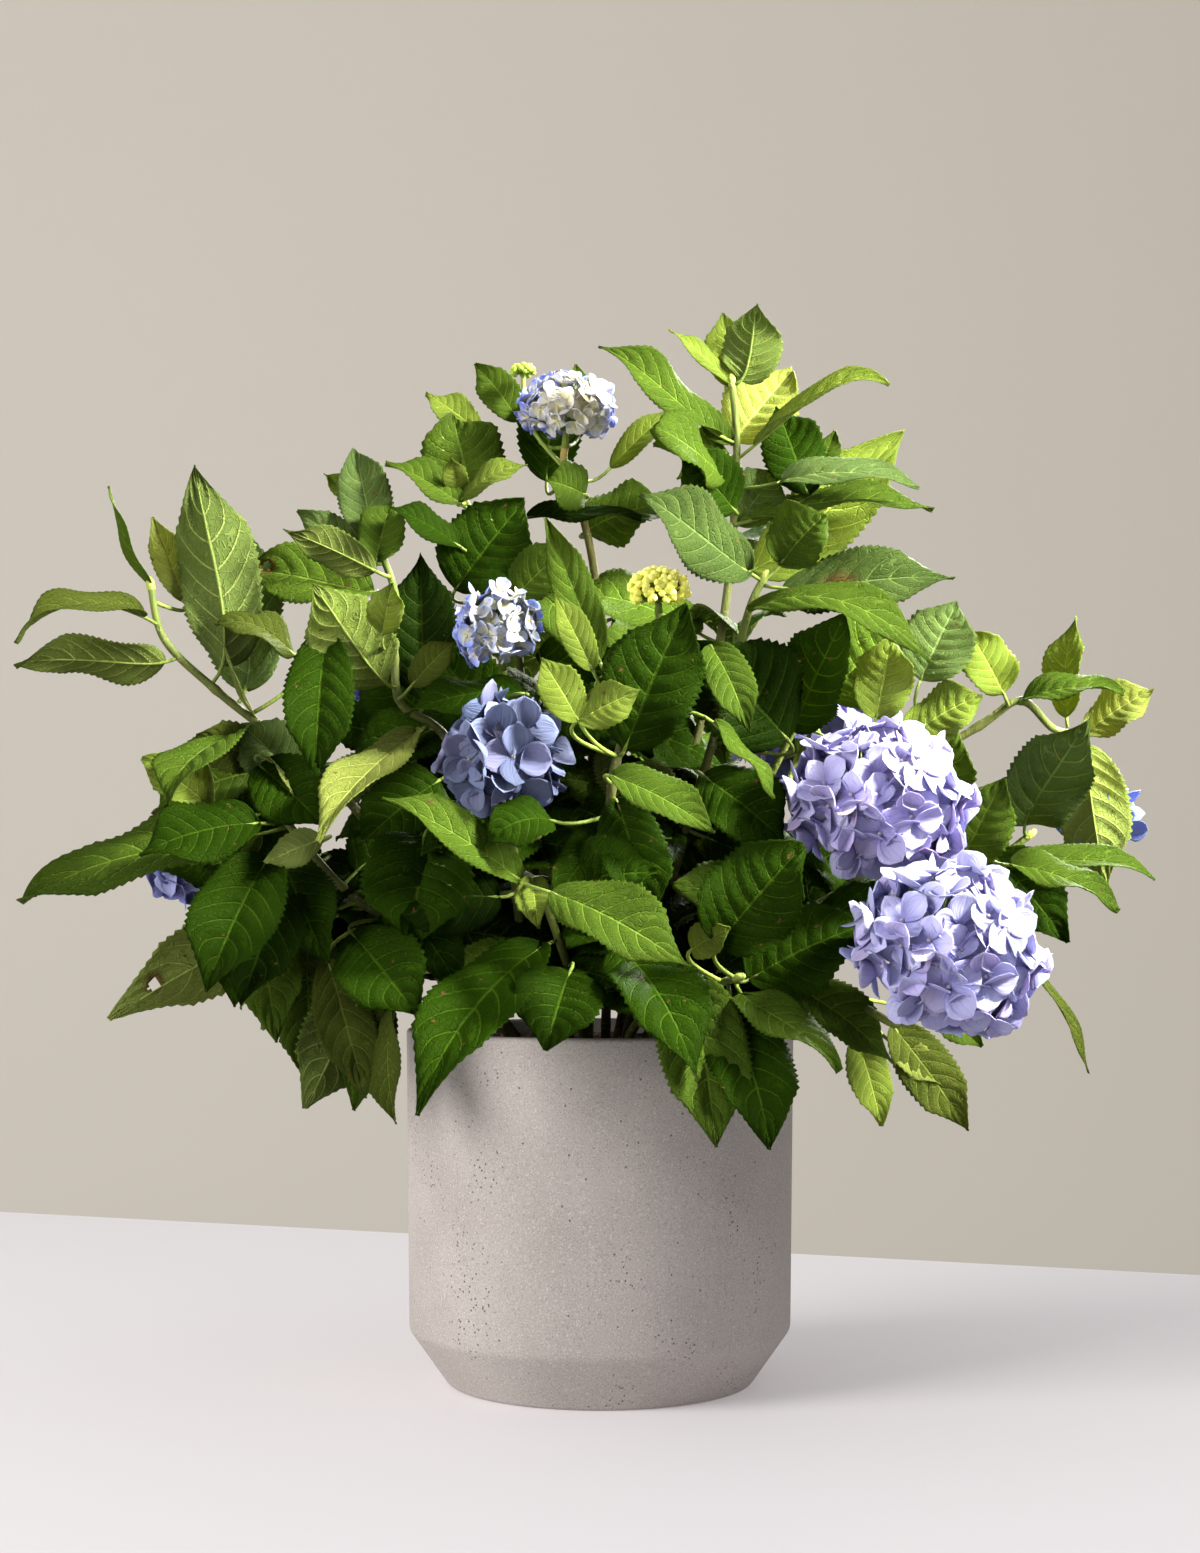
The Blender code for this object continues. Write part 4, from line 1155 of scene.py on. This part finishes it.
def add_bud_cluster(stem):
    """A young flower head, still in tight bud, behind the white one."""
    rng = random.Random(5)
    middle = Vector((-0.057, 0.030, 0.738))
    gather = Gather("stem")
    root = cane_line("white_head")[-14]
    line = smooth_line([root, root.lerp(middle, 0.5) + Vector((-0.012, 0.008, 0.0)), middle], 6)
    add_tube(gather, line, [0.0018] * len(line), [GREEN_STEM] * len(line), 8)
    count = 26
    for i in range(count):
        level = 1.0 - (i + 0.5) / count * 1.5
        ring = math.sqrt(max(0.0, 1.0 - level * level))
        way = Vector((ring * math.cos(i * 2.4), ring * math.sin(i * 2.4), level))
        spot = middle + Vector((way.x * 0.008, way.y * 0.008, way.z * 0.004))
        add_ball(gather, spot, rng.uniform(0.0018, 0.0028), (0.26, 0.38, 0.04), 1.0, way)
    buds = gather.make("bud_cluster", [stem])
    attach(buds, "root")


# ---------------------------------------------------------------- pot and soil
def add_turned(gather, profile, steps, tone):
    """Rings round the pot's axis, from a profile of (radius, height) that starts and ends on the axis."""
    rings = []
    for radius, height in profile:
        ring = []
        for k in range(steps if radius > 0.0001 else 1):
            angle = math.tau * k / steps
            ring.append(gather.point((radius * math.cos(angle), radius * math.sin(angle), height), tone))
        rings.append(ring if len(ring) > 1 else ring * steps)
    for low, high in zip(rings, rings[1:]):
        for k in range(steps):
            after = (k + 1) % steps
            corners = dict.fromkeys((low[k], high[k], high[after], low[after]))
            if len(corners) > 2:
                gather.faces.append(tuple(corners))


def rounded(profile, radius, steps=5):
    """The profile with each inner corner rounded."""
    made = [profile[0]]
    for before, corner, after in zip(profile, profile[1:], profile[2:]):
        a, b, c = (Vector((*p, 0.0)) for p in (before, corner, after))
        reach = min(radius, (a - b).length * 0.45, (c - b).length * 0.45)
        start = b + (a - b).normalized() * reach
        end = b + (c - b).normalized() * reach
        for k in range(steps + 1):
            t = k / steps
            spot = start * (1 - t) ** 2 + b * 2 * t * (1 - t) + end * t * t
            made.append((spot.x, spot.y))
    made.append(profile[-1])
    return made


def add_pot(material):
    top = POT_RADIUS
    foot = POT_RADIUS - POT_TAPER
    inner_top = top - POT_WALL
    corners = [
        (0.0, FLOOR_THICKNESS),
        (foot - FOOT_CHAMFER_IN - POT_WALL * 0.5, FLOOR_THICKNESS),
        (inner_top - POT_TAPER, FLOOR_THICKNESS + FOOT_CHAMFER_UP),
        (inner_top, POT_HEIGHT),
        (top, POT_HEIGHT),
        (foot, FOOT_CHAMFER_UP),
        (foot - FOOT_CHAMFER_IN, 0.0),
        (0.0, 0.0),
    ]
    gather = Gather("turned")
    add_turned(gather, rounded(corners, POT_CORNER), 160, (0.3, 0.3, 0.3))
    pot = gather.make("planter", [material])
    for vert in pot.data.vertices:
        rough = noise.noise(vert.co * 45.0) * 0.00035 + noise.noise(vert.co * 12.0) * 0.0005
        flat = Vector((vert.co.x, vert.co.y, 0.0))
        if vert.co.z > 0.001 and flat.length > 0.05:
            vert.co += flat.normalized() * rough
    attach(pot, "root")
    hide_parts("pot")


def add_chip(gather, middle, size, rng):
    """A flat splinter of bark with rough edges."""
    turn = Matrix.Rotation(rng.uniform(0.0, math.tau), 3, "Z")
    turn = turn @ Matrix.Rotation(rng.uniform(-0.5, 0.5), 3, "X")
    tone = rng.choice(BARK_TONES)
    sides = 7
    rings = []
    for level, pull in ((-0.5, 0.78), (0.0, 1.0), (0.45, 0.90), (0.55, 0.55)):
        ring = []
        for k in range(sides):
            angle = math.tau * k / sides
            far = pull * (1.0 + rng.uniform(-0.18, 0.18))
            along = math.cos(angle) * size * far
            across = math.sin(angle) * size * 0.45 * far
            spot = Vector((along, across, level * size * 0.34))
            ring.append(gather.point(middle + turn @ spot, scaled(tone, rng.uniform(0.85, 1.15))))
        rings.append(ring)
    gather.skin(rings)


def add_soil(material):
    """The bed of soil, closed below, and the bark chips that lie on it."""
    rng = random.Random(21)
    reach = POT_RADIUS - POT_WALL - 0.0016
    shoulder = FLOOR_THICKNESS + FOOT_CHAMFER_UP
    foot = POT_RADIUS - POT_TAPER - FOOT_CHAMFER_IN - POT_WALL * 0.5 - 0.002
    bed = Gather("turned")
    shares = (0.0, 0.12, 0.25, 0.4, 0.55, 0.7, 0.85, 1.0)
    profile = [(reach * share, SOIL_TOP - 0.005 * share**6) for share in shares]
    profile += [(reach - POT_TAPER, shoulder + 0.002), (foot, FLOOR_THICKNESS + 0.001)]
    profile.append((0.0, FLOOR_THICKNESS + 0.001))
    add_turned(bed, profile, 72, (0.050, 0.030, 0.018))
    for i, point in enumerate(bed.points):
        spot = Vector(point)
        if spot.z > 0.2:
            spot.z += noise.noise(spot * 90.0) * 0.0016
            bed.points[i] = tuple(spot)
    for i in range(CHIP_COUNT):
        angle = i * CHIP_TURN
        radius = (reach - 0.010) * math.sqrt((i + 0.5) / CHIP_COUNT)
        size = rng.uniform(0.0045, 0.0110)
        height = SOIL_TOP + 0.001 + rng.uniform(0.0, 0.0045)
        add_chip(bed, Vector((radius * math.cos(angle), radius * math.sin(angle), height)), size, rng)
    soil = bed.make("bark_mulch", [material])
    soil.data.shade_flat()
    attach(soil, "root")
    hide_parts("potting_soil")


# ---------------------------------------------------------------- stage, light and camera
def add_sheet(name, corners, material):
    """A flat piece of the stage, and a collection of it alone."""
    mesh = bpy.data.meshes.new(name)
    mesh.from_pydata(corners, [], [tuple(range(len(corners)))])
    made = bpy.data.objects.new(name, mesh)
    made.data.materials.append(material)
    bpy.context.scene.collection.objects.link(made)
    alone = bpy.data.collections.new(name + "_alone")
    alone.objects.link(made)
    return alone


def add_stage():
    """The table and the wall behind it. Returns the table's collection."""
    # The table grows a little lighter to the right, painted light against the lamps' falloff; the wall darker
    # to the right, painted shade.
    table = plain_material("white_table", (0.70, 0.67, 0.685), (0.73, 0.70, 0.715), 0.6)
    wall = plain_material("pale_wall", (0.743, 0.682, 0.594), (0.671, 0.612, 0.518), 0.9)
    add_sheet("wall", [(-9, 6.0, -3), (9, 6.0, -3), (9, 6.0, 6), (-9, 6.0, 6)], wall)
    return add_sheet("table", [(-6, -6, 0), (6, -6, 0), (6, -1.515, 0), (-6, 2.88, 0)], table)


def add_lamp(name, kind, spot, aim, size, power, colour, only=None):
    """A round soft lamp. A SPOT lights a circle round its aim. With a collection, it lights only that."""
    lamp = bpy.data.lights.new(name, kind)
    if kind == "AREA":
        lamp.shape = "DISK"
        lamp.size = size
    else:
        lamp.shadow_soft_size = size
        lamp.spot_size = math.radians(SPOT_CONE)
        lamp.spot_blend = 0.8
    lamp.energy = power
    lamp.color = colour
    made = bpy.data.objects.new(name, lamp)
    made.location = spot
    made.rotation_euler = (Vector(aim) - Vector(spot)).to_track_quat("-Z", "Y").to_euler()
    if only:
        made.light_linking.receiver_collection = only
    bpy.context.scene.collection.objects.link(made)
    return made


def lit_pieces(name, starts):
    """A collection of the pieces whose names start so, for a lamp that lights only them."""
    lit = bpy.data.collections.new(name)
    for piece in bpy.context.scene.objects:
        if piece.name.startswith(starts):
            lit.objects.link(piece)
    return lit


def add_lights(table):
    plant = lit_pieces("plant", ("stem_", "leaves_", "flower", "bud_"))
    green = lit_pieces("green_parts", ("stem_", "leaves_"))
    crown = (0.20, 0.0, 0.60)
    add_lamp("window", "AREA", (-3.9, -2.2, 1.7), (0.0, 0.0, 0.15), 2.6, 250.0, (1.0, 0.98, 0.95))
    add_lamp("high_right", "SPOT", (1.8, -0.9, 1.9), crown, 0.30, 2150.0, (1.0, 0.98, 0.93), plant)
    add_lamp("behind_right", "SPOT", (1.1, 1.7, 1.8), crown, 0.36, 2000.0, (1.0, 0.98, 0.88), plant)
    right_side = (0.32, 0.0, 0.50)
    add_lamp("side_right", "SPOT", (2.4, -1.5, 1.1), right_side, 0.60, 1100.0, (1.0, 0.98, 0.94), green)
    over_table = (1.6, -0.6, 3.0)
    wash = add_lamp("table_wash", "AREA", over_table, (0.3, 0.0, 0.0), 1.5, 40.0, (1.0, 0.98, 0.98), table)
    wash.light_linking.blocker_collection = table
    world = bpy.data.worlds.new("soft_room")
    bpy.context.scene.world = world
    world.use_nodes = True
    back = next(n for n in world.node_tree.nodes if n.type == "BACKGROUND")
    back.inputs["Color"].default_value = (0.97, 0.98, 1.0, 1.0)
    back.inputs["Strength"].default_value = 0.60
    bpy.context.scene.view_settings.view_transform = "Standard"


def add_camera():
    """Level, at the height of the lower leaves, with the frame shifted up to take in the plant's top."""
    lens = bpy.data.cameras.new("camera")
    lens.lens = 56.2
    lens.sensor_width = 36.0
    lens.sensor_fit = "AUTO"
    lens.shift_y = 0.0757
    lens.clip_end = 60.0
    camera = bpy.data.objects.new("camera", lens)
    camera.location = (0.0, -1.76, 0.352)
    camera.rotation_euler = (math.pi / 2, 0.0, 0.0)
    bpy.context.scene.collection.objects.link(camera)
    bpy.context.scene.camera = camera


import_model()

STONE = stone_material("cast_stone_speckled")
BARK = bark_material("bark_chips")
STEM = stem_material("green_bark_dotted")
LEAF_UPPER = leaf_material("leaf_upper", False)
LEAF_UNDER = leaf_material("leaf_under", True)
PETAL = petal_material("sepal")

add_pot(STONE)
add_soil(BARK)
add_leaves(LEAF_UPPER, LEAF_UNDER, STEM)
for each in HEADS:
    add_head(each, PETAL, STEM)
add_bud_cluster(STEM)
add_lights(add_stage())
add_camera()
